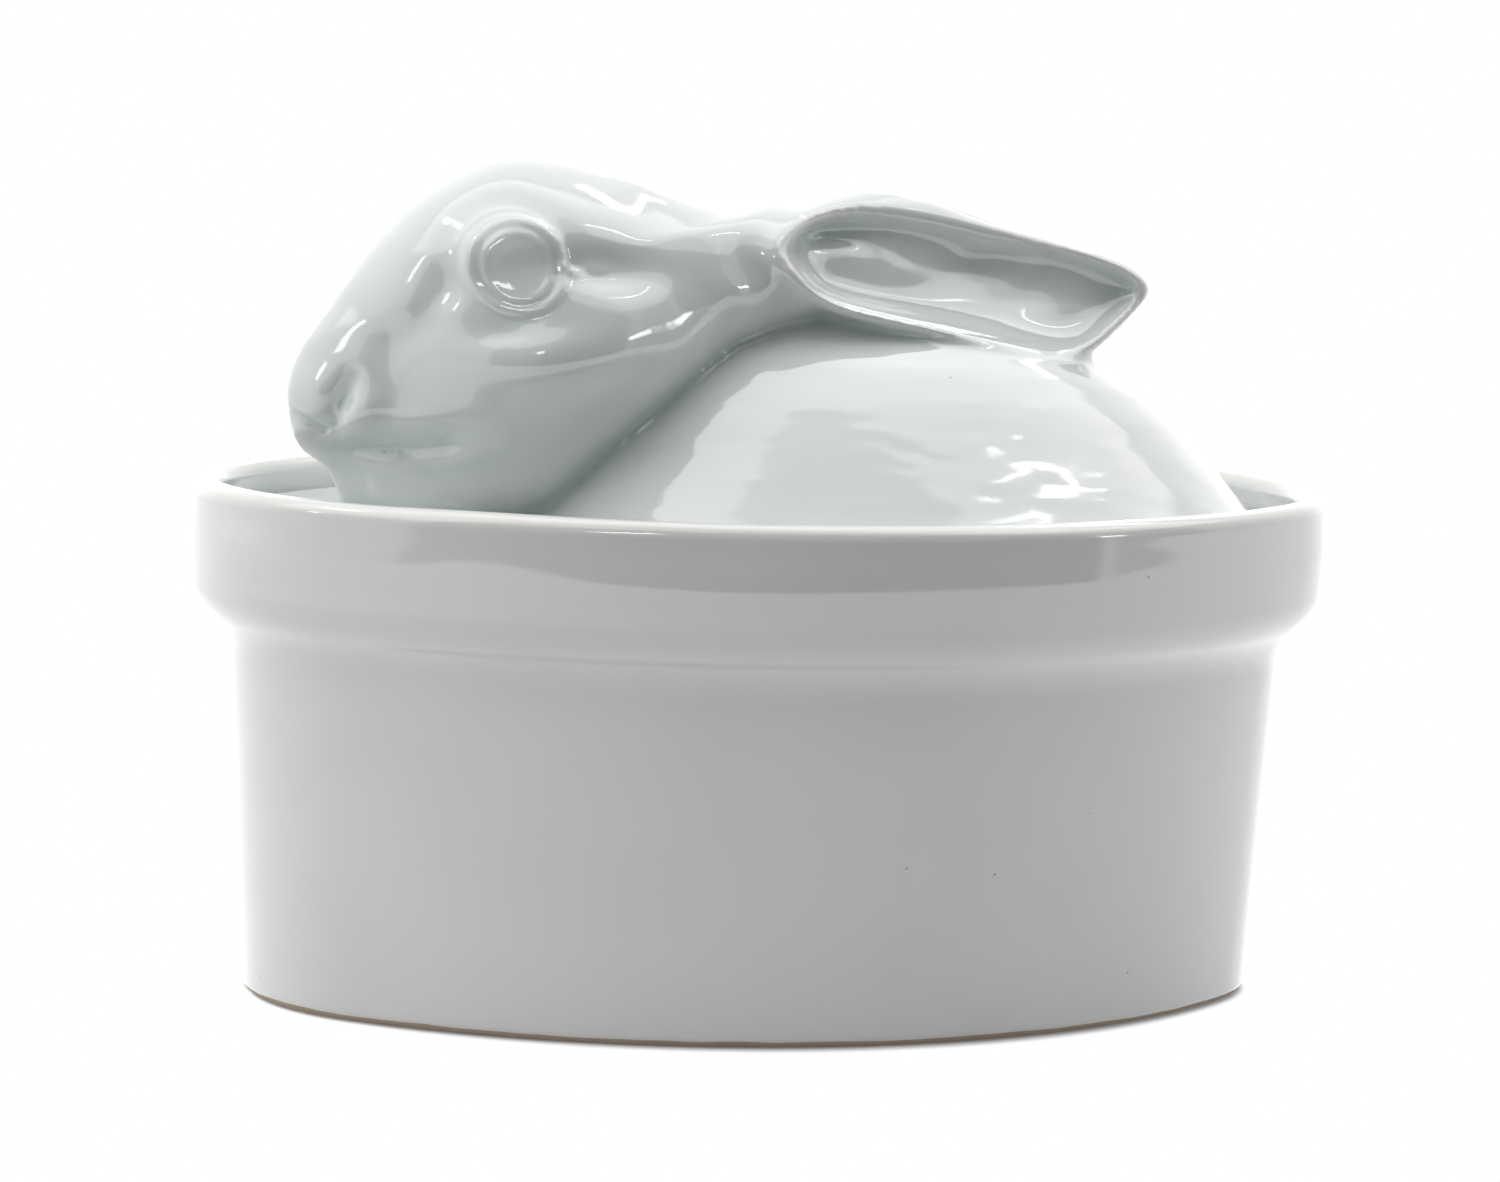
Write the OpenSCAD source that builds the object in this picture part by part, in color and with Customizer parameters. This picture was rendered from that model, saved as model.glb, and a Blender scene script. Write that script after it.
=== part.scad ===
// Covered tureen: a deep oval dish and a hollow cover in the form of a crouching rabbit.
// The cover's flat flange rests on a ledge inside the rim of the dish.
// The origin is the middle of the foot, +X points to the rabbit's tail and +Z up.

/* [Dish] */
// Length over the rim
dish_length = 190; // [170:1:220]
// Width over the rim
dish_width = 130; // [122:1:140]
// Height of the rim above the table
dish_height = 83; // [70:1:100]
// Thickness of the rounded lip
lip = 5.2; // [4:0.2:6]
// Height of the upright band under the lip
band_height = 13; // [11:0.5:18]
// Height of the soft step from the band to the wall
shoulder_height = 13; // [10:0.5:18]
// How far the shoulder steps in from the rim
shoulder_inset = 7; // [6:0.2:8]
// How far the wall leans in from the shoulder to the foot
wall_lean = 3.4; // [1:0.2:5]
// Thickness of the wall
wall = 4.8; // [4:0.2:6]
// Thickness of the bottom
bottom = 5; // [4:0.2:7]
// Radius of the hollow where the wall meets the bottom
bottom_fillet = 9; // [6:0.5:12]
// Rounding of the outer edge of the foot
foot_round = 2; // [1:0.2:3]
// Width of the ring that the dish stands on
foot_ring = 4; // [3:0.2:6]
// Height of the hollow under the bottom
foot_hollow = 1.6; // [1:0.2:2.4]

/* [Seat] */
// Depth of the ledge under the top of the rim
ledge_depth = 10; // [8:0.5:12]
// Width of the ledge
ledge_width = 5.5; // [4:0.5:7]
// Gap between the flange and the rim
seat_gap = 1; // [0.6:0.1:1.6]

/* [Cover] */
// Thickness of the flange
flange = 4.5; // [4:0.2:6]
// Thickness of the hollow cover
cover_wall = 5; // [4:0.2:6]

/* [Rabbit] */
// Height of the crown above the flange
rabbit_height = 57.8; // [50:0.2:66]
// How far the nose stands in from the end of the rim
nose_inset = 15; // [13:1:17]
// How far the rump stands in from the other end of the rim
rump_inset = 12; // [8:1:24]
// Room between the body and the rim at each side
body_room = 9.8; // [7:0.2:15]
// Width of the head over the cheeks
head_width = 61; // [56:1:66]
// Width over the ears
ear_span = 37; // [33:1:41]
// Depth of the hollow in each ear
ear_cup = 8; // [6:0.5:9]
// Radius of the eyelids
eye_radius = 6.4; // [5.4:0.2:7]

/* [Hidden] */
porcelain = "#dfe5e1";
$fn = 96;

// The oval is four arcs whose centres make right triangles with sides of 20, 21 and 29 units.
// The unit is an odd number of thousandths, so that neighbouring arcs share their end points
// exactly and no facets of theirs fall together.
triangle = [20, 21, 29];
narrowing = (dish_length - dish_width) / (triangle.x + triangle.y - triangle.z) / 2;
oval_unit = (2 * round(narrowing * 500) + 1) / 1000;
end_centre = triangle.x * oval_unit;
side_centre = triangle.y * oval_unit;
end_radius = dish_length / 2 - end_centre;
side_radius = end_radius + triangle.z * oval_unit;

// Heights
shoulder_top = dish_height - lip / 2 - band_height;
shoulder_base = shoulder_top - shoulder_height;
ledge_z = dish_height - ledge_depth;
floor_z = foot_hollow + bottom;
flange_z = ledge_z + flange;

// Insets from the outside of the rim
foot_inset = shoulder_inset + wall_lean + foot_round;
ledge_inset = lip + ledge_width;
cavity_top_inset = shoulder_inset + wall;
cavity_foot_inset = shoulder_inset + wall_lean + wall;
floor_inset = cavity_foot_inset + bottom_fillet;
slab_lap = min(6, (end_radius - floor_inset) / 2);
flange_inset = lip + seat_gap;

// The rabbit's length from nose to rump, and the width of its body at the flange
rabbit_length = dish_length - nose_inset - rump_inset;
body_width = dish_width - 2 * (lip + body_room);

// Rounding of small edges, and the steps of an arc
edge_round = 1.4;
arc_steps = 8;

// Outline tools

// Points of an arc that starts and ends at the given angles
function arc(centre, radius, from, to, steps) =
    [for (i = [0:steps])
        let (a = from + (to - from) * i / steps)
        centre + radius * [cos(a), sin(a)]];

// A soft step of two equal arcs from one point down and in to another
function soft_step(top, drop, inset, steps) =
    let (turn = 2 * atan2(inset, drop), r = drop / 2 / sin(turn))
    concat(arc(top - [r, 0], r, 0, -turn, steps),
           arc(top - [inset - r, drop], r, 180 - turn, 180, steps));

// A cubic curve through p1 and p2, with its neighbours p0 and p3
function bend(p0, p1, p2, p3, t) =
    let (m1 = (p2 - p0) / 2, m2 = (p3 - p1) / 2, t2 = t * t, t3 = t2 * t)
    (2 * t3 - 3 * t2 + 1) * p1 + (t3 - 2 * t2 + t) * m1 + (3 * t2 - 2 * t3) * p2 + (t3 - t2) * m2;

// A closed smooth curve through a loop of points
function smooth_loop(points, steps) =
    let (n = len(points))
    [for (i = [0:n - 1], k = [0:steps - 1])
        bend(points[(i + n - 1) % n], points[i], points[(i + 1) % n], points[(i + 2) % n], k / steps)];

// Oval tools

// The wedge of the plan that belongs to the arc at the end, or to the one at the side
module end_wedge(tall) {
    far_x = end_centre + 3 * end_centre;
    far_y = 3 * side_centre;
    linear_extrude(tall)
        polygon([[end_centre, 0], [far_x, -far_y], [far_x, far_y]]);
}

module side_wedge(tall) {
    far_x = end_centre + 3 * end_centre;
    far_y = 3 * side_centre;
    linear_extrude(tall)
        polygon([[0, -side_centre], [far_x, far_y], [-far_x, far_y]]);
}

// Sweeps a profile round the oval; its zero is the outside of the rim
module around_oval(tall) {
    for (turn = [0, 180])
        rotate([0, 0, turn]) {
            intersection() {
                translate([end_centre, 0, 0])
                    rotate_extrude()
                        translate([end_radius, 0])
                            children();
                end_wedge(tall);
            }
            intersection() {
                translate([0, -side_centre, 0])
                    rotate_extrude()
                        translate([side_radius, 0])
                            children();
                side_wedge(tall);
            }
        }
}

// A level oval plate that stands in from the rim by the inset
module oval_plate(inset, low, high) {
    end_r = end_radius - inset;
    side_r = side_radius - inset;
    translate([0, 0, low])
        linear_extrude(high - low) {
            intersection() {
                translate([0, -side_centre])
                    circle(side_r);
                translate([0, side_centre])
                    circle(side_r);
                square([2 * end_centre + end_r, 2 * side_radius], center = true);
            }
            for (side = [-1, 1])
                translate([side * end_centre, 0])
                    circle(end_r);
        }
}

// Section of the dish from the rim to the flat of the bottom
module dish_section() {
    lip_r = lip / 2;
    outside = concat(
        arc([-lip_r, dish_height - lip_r], lip_r, 180, 0, 2 * arc_steps),
        soft_step([0, shoulder_top], shoulder_height, shoulder_inset, arc_steps),
        arc([-foot_inset, foot_round], foot_round, 0, -90, arc_steps));
    foot = [
        [-foot_inset - foot_ring, 0],
        [-foot_inset - foot_ring - foot_hollow, foot_hollow],
        [-floor_inset - slab_lap, foot_hollow],
        [-floor_inset - slab_lap, floor_z]];
    inside = concat(
        arc([-floor_inset, floor_z + bottom_fillet], bottom_fillet, -90, 0, arc_steps),
        [[-cavity_top_inset, shoulder_base]],
        arc([-ledge_inset - edge_round, ledge_z - edge_round], edge_round, 0, 90, arc_steps / 2),
        [[-lip - edge_round, ledge_z]],
        arc([-lip - edge_round, ledge_z + edge_round], edge_round, -90, 0, arc_steps / 2));
    polygon(concat(outside, foot, inside));
}

module dish() {
    color(porcelain) {
        around_oval(dish_height + 1)
            dish_section();
        oval_plate(floor_inset, foot_hollow, floor_z);
    }
}

// Rabbit

// The rabbit is drawn from the side, in millimetres from its nose and from the top of the
// flange, at the length and height below, and is stretched from there to its own sizes.
drawn_length = 163;
drawn_height = 57.8;
nose_x = nose_inset - dish_length / 2;

// Side outline of the head and neck, from the nose over the crown and back under the jaw
head_outline = [
    [0.2, 20.5], [2, 26], [6, 32], [10, 38], [14.5, 44.5], [21.5, 51.8], [31.5, 57],
    [42, 57.4], [52, 55.6], [62, 52.4], [72, 50.4], [79, 49.6], [81.5, 45], [83, 40.5], [86.5, 36],
    [86, 31], [78.5, 25.5], [68, 18.5], [57, 9.5], [48, -1], [38, -13], [20, -13], [11, -1],
    [7, 6.5], [2.8, 10], [0.6, 14.5]];

// Side outline of the ears, from the front of the rim over the top to the tip and back
ear_outline = [
    [73.4, 43.5], [77, 48], [85.6, 51.9], [95, 53.1], [105, 52.1], [113.5, 49.8], [121.5, 47.5],
    [130, 45.8], [137.2, 42.8], [143.4, 38], [140.4, 34], [136.2, 30], [131.8, 26.8],
    [126, 25.8], [119, 26.5], [110, 28.1], [100, 30], [91, 31.9], [84, 33.8], [78.5, 37]];

// The middle of an ear, its half length and half height and its tilt
ear_middle = [107, 40.5];
ear_half = [36, 12];
ear_tilt = -7;

// Straight lines along the upper and the lower edge of an ear: a point and the slope
upper_line = [85, 54, -0.17];
lower_line = [84, 34.5, -0.2];

// Half width over the lower rims at the front and at the tip, where it narrows, and how late
drawn_ear_span = 37;
front_spread = 20;
tip_spread = 6;
spread_from = 76;
spread_to = 143;
spread_power = 3;

// Half width of the crest where the ears meet, least half width in their hollows, and the
// share of the hollow's depth that reaches to the tip
crest = 3.8;
ear_skin = 2.2;
tip_cup = 0.3;

// The oval of the ear's deep hollow, and the pad in it
ear_hollow = [[97, 43], [24, 9.5], -6];
ear_pad = [[95, 42.5], [17, 4.5], -5, 3];

// Masses of the head: place, radii, tilt and half width
skull = [[34, 40], [26, 22], 0, 22];
cheek = [[43, 22], [31, 22], 0, 28];
bridge = [[17, 30], [24, 13], 52, 13];
muzzle = [[13, 17], [17, 13], 20, 13.5];
neck = [[72, 38], [34, 17], 15, 19.5];
throat = [[30, 3], [24, 18], 0, 20];
head_masses = [skull, cheek, bridge, muzzle, neck, throat];
drawn_head_width = 61;
thinnest = 2;

// The eye: its place, the radius that it is drawn with, its round ridges as radius, width and
// height (the ball, the edge of the iris and the lid), and the groove round it, which is
// deepest at the brow
eye = [31.6, 41.3];
drawn_eye = 6.4;
eye_ridges = [[0, 4.6, 0.9], [3.7, 0.5, 0.35], [6.2, 0.8, 1.3]];
eye_groove = [8.9, 1.5, -0.5];
brow_depth = -1.3;
brow_angle = 115;

// Dabs on the head: place, radii, tilt and height, where a hollow has a height below zero
head_dabs = [
    [[42.5, 41.5], [6, 2.4], -4, -2.2],
    [[20, 34], [6.5, 3.2], 50, -1.8],
    [[30, 31.5], [8, 2.8], 8, -1.5],
    [[33, 27], [12, 4], 12, 1.2],
    [[12.5, 15.5], [8, 4], 10, 2.2],
    [[6.6, 19], [3.4, 1.3], 55, -2.6],
    [[3.6, 19], [2.6, 4], 20, 1.2],
    [[10, 11], [9, 1.2], -6, -1],
    [[23, 13.5], [3, 4], -30, -1],
    [[56, 24], [4, 9], -35, 1]];

// How steeply the head rounds over to its outline, and how much steeper towards the nape
head_edge = 2.3;
nape_edge = 3;
nape_angle = -15;

// Steps of the smooth curve between two points of the outlines
head_steps = 3;
ear_steps = 3;

// Relief tools

// How far a point lies from a place, with each direction measured in its own radius
function reach(p, place, radii, tilt) =
    let (d = p - place, u = d.x * cos(tilt) + d.y * sin(tilt), v = d.y * cos(tilt) - d.x * sin(tilt))
    norm([u / radii.x, v / radii.y]);

function dab(p, d) = d[3] * exp(-pow(reach(p, d[0], d[1], d[2]), 2));

function total(list) = [for (v = list) 1] * list;

// Half width that the masses give together at a point of the side view, so that the widest
// one leads and the others blend into it
function mass(p, m) = pow(m[3], 4) * pow(max(0, 1 - pow(reach(p, m[0], m[1], m[2]), 2)), 2);
function breadth(p) = pow(total([for (m = head_masses) mass(p, m)]), 1 / 4);

// A round ridge, given as radius, width and height, at the distance r from its middle
function ridge(r, g) = g[2] * exp(-pow((r - g[0]) / g[1], 2));

// Direction from the eye to a point of the side view
function eye_angle(p) = atan2(p.y - eye.y, p.x - eye.x);

// Height of the eyeball, the lids and the groove round them
function eye_form(p) =
    let (r = norm(p - eye) * drawn_eye / eye_radius,
         brow = brow_depth * (1 + cos(eye_angle(p) - brow_angle)) / 2)
    total([for (g = eye_ridges) ridge(r, g)]) + ridge(r, eye_groove + [0, 0, brow]);

// Share of the half width at a share of the way out: fuller towards the neck and jaw
function rounding(p, s) =
    let (back = max(0, cos(eye_angle(p) - nape_angle)))
    sqrt(max(0, 1 - pow(s, head_edge + nape_edge * back * back)));

function head_side(p, s) =
    let (dabs = total([for (d = head_dabs) dab(p, d)]))
    head_width / drawn_head_width * rounding(p, s) * max(thinnest, breadth(p) + eye_form(p) + dabs);

// From the drawing to the place on the cover
function placed(p, y) =
    [nose_x + p.x * rabbit_length / drawn_length, y, flange_z + p.y * rabbit_height / drawn_height];

// The rings that run from the eye out to the outline: first at fixed radii, then in shares
eye_rings = [2.2, 3.6, 4.8, 5.6, 6.4, 7.4, 8.8];
head_shares = [0.06, 0.13, 0.2, 0.28, 0.37, 0.46, 0.56, 0.66, 0.75, 0.83, 0.9, 0.95, 0.985, 1];

function head_ring(outline, share, radius) =
    [for (q = outline)
        let (out = norm(q - eye), inner = max(eye_rings),
             r = radius > 0 ? radius : inner + (out - inner) * share,
             p = eye + (q - eye) * r / out)
        placed(p, head_side(p, r / out))];

// A solid with two like sides, from rings that run from the side's middle to the outline
module two_sided(pole, rings) {
    n = len(rings[0]);
    k = len(rings);
    sides = concat(
        [pole],
        [for (ring = rings) each ring],
        [for (i = [k - 2:-1:0]) each [for (q = rings[i]) [q.x, -q.y, q.z]]],
        [[pole.x, -pole.y, pole.z]]);
    bands = 2 * k - 1;
    last = 1 + bands * n;
    first_fan = [for (i = [0:n - 1]) [0, 1 + (i + 1) % n, 1 + i]];
    last_fan = [for (i = [0:n - 1]) [last, last - n + i, last - n + (i + 1) % n]];
    strips = [for (b = [0:bands - 2], i = [0:n - 1])
        let (p = 1 + b * n + i, q = 1 + b * n + (i + 1) % n)
        each norm(sides[p] - sides[q + n]) < norm(sides[q] - sides[p + n])
            ? [[p, q, q + n], [p, q + n, p + n]]
            : [[p, q, p + n], [q, q + n, p + n]]];
    polyhedron(sides, concat(first_fan, strips, last_fan));
}

module head() {
    outline = smooth_loop(head_outline, head_steps);
    rings = concat(
        [for (r = eye_rings) head_ring(outline, 0, r)],
        [for (s = head_shares) head_ring(outline, s, 0)]);
    two_sided(placed(eye, head_side(eye, 0)), rings);
}

// Share of the way from one value to another, and height of a line at a place along the rabbit
function part_way(value, from, to) = max(0, min(1, (value - from) / (to - from)));
function height_on(line, x) = line[1] + line[2] * (x - line[0]);

// Share of the way from the upper to the lower edge of an ear
function ear_share(p) = part_way(p.y, height_on(upper_line, p.x), height_on(lower_line, p.x));

// Half width over the lower rims, along the ear
function ear_spread(x) =
    let (taper = pow(part_way(x, spread_from, spread_to), spread_power))
    ear_span / drawn_ear_span * (front_spread + (tip_spread - front_spread) * taper);

// Half width at the rim: the upper rims meet in a crest and the lower ones stand out
function ear_rim(p) = crest + (ear_spread(p.x) - crest) * sin(90 * ear_share(p));

// Half width at the bottom of the ear's hollow
function ear_floor(p) =
    let (chord = crest + (ear_spread(p.x) - crest) * ear_share(p),
         deep = exp(-pow(reach(p, ear_hollow[0], ear_hollow[1], ear_hollow[2]), 4)))
    max(ear_skin, chord - ear_cup * (tip_cup + (1 - tip_cup) * deep) + dab(p, ear_pad));

// Rings of an ear's rim: inset, share of the half width, share of the way down to the hollow
rim_width = 6;
rim_rings = [[0, 0, 0], [0.2, 0.5, 0], [0.9, 0.85, 0], [1.9, 1, 0], [2.9, 1, 0.1], [3.8, 1, 0.45],
    [4.8, 1, 0.8], [rim_width, 1, 0.97]];
floor_shares = [0.85, 0.68, 0.5, 0.32, 0.15];

// A point of an ear's outline moved inwards, by shrinking the outline along and across the ear
function ear_inset(q, by) =
    let (d = q - ear_middle, along = [cos(ear_tilt), sin(ear_tilt)], across = [-along.y, along.x],
         u = (d * along) * (1 - by / ear_half.x), v = (d * across) * (1 - by / ear_half.y))
    ear_middle + u * along + v * across;

function ear_rim_ring(outline, ring) =
    [for (q = outline)
        let (p = ear_inset(q, ring[0]))
        placed(p, ring[1] * (ear_rim(p) * (1 - ring[2]) + ear_floor(p) * ring[2]))];

function ear_floor_ring(outline, share) =
    [for (q = outline)
        let (p = ear_middle + (ear_inset(q, rim_width) - ear_middle) * share)
        placed(p, ear_floor(p))];

module ears() {
    outline = smooth_loop(ear_outline, ear_steps);
    rings = concat(
        [for (i = [len(floor_shares) - 1:-1:0]) ear_floor_ring(outline, floor_shares[i])],
        [for (i = [len(rim_rings) - 1:-1:0]) ear_rim_ring(outline, rim_rings[i])]);
    two_sided(placed(ear_middle, ear_floor(ear_middle)), rings);
}

// The dome of the body: its middle, its length to the front and to the back, its height, how
// full it is along and across, and how much it flattens towards its foot
body_middle = 95;
body_front = 60;
body_back = 68;
body_height = 33.5;
fullness_along = 3;
fullness_across = 2.2;
foot_flatness = 1.14;

// Steps up and round the outer dome and the hollow one
outer_steps = [11, 44];
inner_steps = [7, 28];

module body(inset, grid, low) {
    steps = grid[0];
    sides = grid[1];
    stretch = rabbit_length / drawn_length;
    half_width = body_width / 2 - inset;
    height = body_height * rabbit_height / drawn_height - inset;
    middle = placed([body_middle, 0], 0);
    function ring(e) = [for (i = [0:sides - 1])
        let (t = -360 * i / sides,
             half_length = (cos(t) > 0 ? body_back : body_front) * stretch - inset,
             fullness = fullness_along + (fullness_across - fullness_along) * pow(sin(t), 2))
        [middle.x + half_length * cos(e) * cos(t), half_width * cos(e) * sin(t),
            middle.z + height * pow(1 - pow(cos(e), fullness), foot_flatness)]];
    foot = [for (q = ring(0)) [q.x, q.y, low]];
    points = concat(foot, [for (k = [0:steps - 1]) each ring(90 * k / steps)],
        [[middle.x, 0, middle.z + height]]);
    top = len(points) - 1;
    strips = [for (k = [0:steps - 1], i = [0:sides - 1])
        let (p = k * sides + i, q = k * sides + (i + 1) % sides)
        each [[p, q, q + sides], [p, q + sides, p + sides]]];
    fan = [for (i = [0:sides - 1]) [top - sides + i, top - sides + (i + 1) % sides, top]];
    polyhedron(points, concat([[for (i = [sides - 1:-1:0]) i]], strips, fan));
}

// The head's outline moved inwards, apart from where it faces down and back into the body
function inward(loop, by) =
    let (n = len(loop))
    [for (i = [0:n - 1])
        let (d = loop[(i + 1) % n] - loop[(i + n - 1) % n], in_body = d.x < 0 && d.y < 0)
        loop[i] + (in_body ? 0 : by / norm(d)) * [d.y, -d.x]];

// The hollow in the head: its rings, and its half width inside the wall
hollow_shares = [0.25, 0.5, 0.72, 0.88, 0.97, 1];
function hollow_side(p, s) =
    rounding(p, s) * max(thinnest, breadth(p) * head_width / drawn_head_width - cover_wall);

// It stops short of the ears, which are solid
module head_hollow() {
    back = ear_outline[0].x - cover_wall;
    outline = [for (p = inward(head_outline, cover_wall)) [min(p.x, back), p.y]];
    rings = [for (s = hollow_shares) [for (q = outline)
        let (p = eye + (q - eye) * s)
        placed(p, hollow_side(p, s))]];
    two_sided(placed(eye, hollow_side(eye, 0)), rings);
}

// How deep the rabbit is set into the flange from its underside
bed = 1.1;

// A round plate with a rounded edge, which follows one arc of the rim
module flange_disc(arc_radius) {
    edge = flange / 2;
    r = arc_radius - flange_inset;
    rotate_extrude()
        polygon(concat(
            [[0, ledge_z]],
            arc([r - edge, ledge_z + edge], edge, -90, 90, arc_steps),
            [[0, flange_z]]));
}

// The flange: the overlap of two wide plates, as far as the arcs of their flat sides reach,
// and a plate at each end
module flange_plate() {
    flat_end = end_radius - flange_inset - flange / 2;
    join_x = end_centre + flat_end * triangle.x / triangle.z;
    for (side = [-1, 1])
        translate([side * end_centre, 0, 0])
            flange_disc(end_radius);
    intersection() {
        translate([0, -side_centre, 0])
            flange_disc(side_radius);
        translate([0, side_centre, 0])
            flange_disc(side_radius);
        translate([-join_x, -dish_width / 2, 0])
            cube([2 * join_x, dish_width, dish_height]);
    }
}

module cover() {
    color(porcelain)
        difference() {
            union() {
                flange_plate();
                intersection() {
                    union() {
                        body(0, outer_steps, ledge_z - bed);
                        head();
                        ears();
                    }
                    translate([-dish_length / 2, -dish_width / 2, ledge_z + bed])
                        cube([dish_length, dish_width, 2 * rabbit_height]);
                }
            }
            body(cover_wall, inner_steps, ledge_z - bed);
            head_hollow();
        }
}

dish();
cover();
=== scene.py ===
"""Looks of the covered tureen: an oval porcelain dish with a rabbit cover."""

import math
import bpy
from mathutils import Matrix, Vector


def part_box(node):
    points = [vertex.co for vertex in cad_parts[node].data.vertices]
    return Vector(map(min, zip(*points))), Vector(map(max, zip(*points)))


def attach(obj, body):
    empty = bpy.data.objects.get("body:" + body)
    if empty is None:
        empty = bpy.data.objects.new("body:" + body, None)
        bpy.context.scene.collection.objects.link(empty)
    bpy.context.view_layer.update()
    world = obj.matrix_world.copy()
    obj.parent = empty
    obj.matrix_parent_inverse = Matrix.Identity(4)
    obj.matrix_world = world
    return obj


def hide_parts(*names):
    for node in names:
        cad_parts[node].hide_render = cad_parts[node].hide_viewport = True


bl_info = {
    "name": "Rabbit tureen",
    "version": (1, 0, 0),
    "blender": (4, 5, 0),
    "location": "3D View > Sidebar > Tureen",
    "description": "Builds a glazed oval dish, its rabbit cover and a plain studio",
    "category": "Object",
}

import bmesh
import bpy
import numpy as np
import openvdb
from bpy.props import FloatProperty, FloatVectorProperty, PointerProperty
from mathutils import Matrix, Vector

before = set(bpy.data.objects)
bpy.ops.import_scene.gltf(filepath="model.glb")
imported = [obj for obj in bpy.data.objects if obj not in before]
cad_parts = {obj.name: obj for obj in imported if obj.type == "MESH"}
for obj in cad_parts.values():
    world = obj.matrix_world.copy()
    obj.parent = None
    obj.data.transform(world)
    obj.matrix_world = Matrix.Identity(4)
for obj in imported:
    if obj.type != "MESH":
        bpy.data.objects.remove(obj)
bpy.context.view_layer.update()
MM = 0.001
# Smallest length that anything is divided by
TINY = 1e-6


# Sizes and colours that a user may change


class TureenSizes(bpy.types.PropertyGroup):
    """Sizes that the looks add to the solids."""

    grain: FloatProperty(
        name="Mesh step",
        description="Distance between points of the modelled rabbit",
        default=0.0008,
        min=0.0005,
        max=0.002,
        unit="LENGTH",
        precision=5,
    )
    coat_ripple: FloatProperty(
        name="Coat ripple",
        description="Height of the tooled ripples on the rabbit's back",
        default=0.00016,
        min=0,
        max=0.0006,
        unit="LENGTH",
        precision=5,
    )
    joint_round: FloatProperty(
        name="Joint rounding",
        description="How widely the glaze rounds the joints of head, ears, body and flange",
        default=0.003,
        min=0.001,
        max=0.005,
        unit="LENGTH",
        precision=4,
    )
    bare_foot: FloatProperty(
        name="Bare foot",
        description="Height of the wiped, unglazed foot",
        default=0.0011,
        min=0,
        max=0.004,
        unit="LENGTH",
        precision=5,
    )


class TureenGlaze(bpy.types.PropertyGroup):
    """Colours and gloss of the porcelain."""

    glaze: FloatVectorProperty(
        name="Glaze",
        description="Colour of the glaze over the white body",
        subtype="COLOR",
        size=3,
        min=0,
        max=1,
        default=(0.745, 0.778, 0.77),
    )
    dish_glaze: FloatVectorProperty(
        name="Dish glaze",
        description="Colour of the glaze on the dish",
        subtype="COLOR",
        size=3,
        min=0,
        max=1,
        default=(0.762, 0.77, 0.757),
    )
    pooled: FloatVectorProperty(
        name="Pooled glaze",
        description="Colour where the glaze has run thick in a hollow",
        subtype="COLOR",
        size=3,
        min=0,
        max=1,
        default=(0.6, 0.69, 0.655),
    )
    thin: FloatVectorProperty(
        name="Thin glaze",
        description="Colour where the glaze is thin over an edge",
        subtype="COLOR",
        size=3,
        min=0,
        max=1,
        default=(0.79, 0.765, 0.71),
    )
    clay: FloatVectorProperty(
        name="Bare clay",
        description="Colour of the fired clay at the unglazed foot",
        subtype="COLOR",
        size=3,
        min=0,
        max=1,
        default=(0.52, 0.42, 0.32),
    )
    gloss: FloatProperty(
        name="Roughness",
        description="Roughness of the glaze",
        default=0.06,
        min=0.01,
        max=0.5,
        subtype="FACTOR",
    )


class TureenStudio(bpy.types.PropertyGroup):
    """Light of the plain studio."""

    soft_light: FloatProperty(
        name="Soft light", description="Strength of the soft lights all round", default=1.0, min=0, soft_max=3
    )
    mirrored: FloatProperty(
        name="Mirrored light", description="Strength of what the glaze mirrors", default=1.0, min=0, soft_max=3
    )


# The dish and its oval

# The rim's four arcs have centres that make right triangles with these sides, in units of so many millimetres
TRIANGLE = (20, 21, 29)
OVAL_UNIT = 2.501
# All sizes from here on are in millimetres, and an inset is measured from the outside of the rim
RIM_LENGTH = 190.0
END_CENTRE = TRIANGLE[0] * OVAL_UNIT
SIDE_CENTRE = TRIANGLE[1] * OVAL_UNIT
END_RADIUS = RIM_LENGTH / 2 - END_CENTRE
SIDE_RADIUS = END_RADIUS + TRIANGLE[2] * OVAL_UNIT
RIM_TOP = 83.0
LIP = 5.2
BAND = 13.0
SHOULDER = RIM_TOP - LIP / 2 - BAND
# How much fuller the middle of the band is, as a share
BAND_SWELL = 0.0034
STEP_IN, STEP_DROP = 7.0, 13.0
WALL_LEAN = 3.4
FOOT_IN, FOOT_WIDTH, FOOT_ROUND = 12.4, 3.6, 2.0
UNDER_IN, UNDER_Z = 35, 1.6
LEDGE_Z, LEDGE_IN, LEDGE_ROUND = 73.0, 10.7, 1.4
INNER_WALL_IN = 11.8
INNER_CORNER, INNER_ROUND = (24.2, 15.6), 9.0
FLANGE_Z, FLANGE_INSET = 77.5, 6.2
# Points round the dish and the flange, and on each arc of the oval when it is measured
DISH_ROUND, FLANGE_ROUND, ARC_POINTS = 520, 480, 400
# Gaps between the points of a section where it runs straight
FINE_GAP, INNER_GAP, UNDER_GAP = 1.2, 2.5, 2.0
# The glaze is thinnest so far under the top of the lip, by such a share
THIN_LIP, THIN_SHARE = 0.9, 0.55
# How much of the step's form comes from two arcs; the rest is a plain wave
ARC_SHARE = 0.4
# Unevenness of the wall and of the band: height, size of the hills, seed
WALL_WAVE = (0.075, (24, 24, 9), 5)
BAND_WAVE = (0.11, (19, 19, 8), 6)


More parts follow.
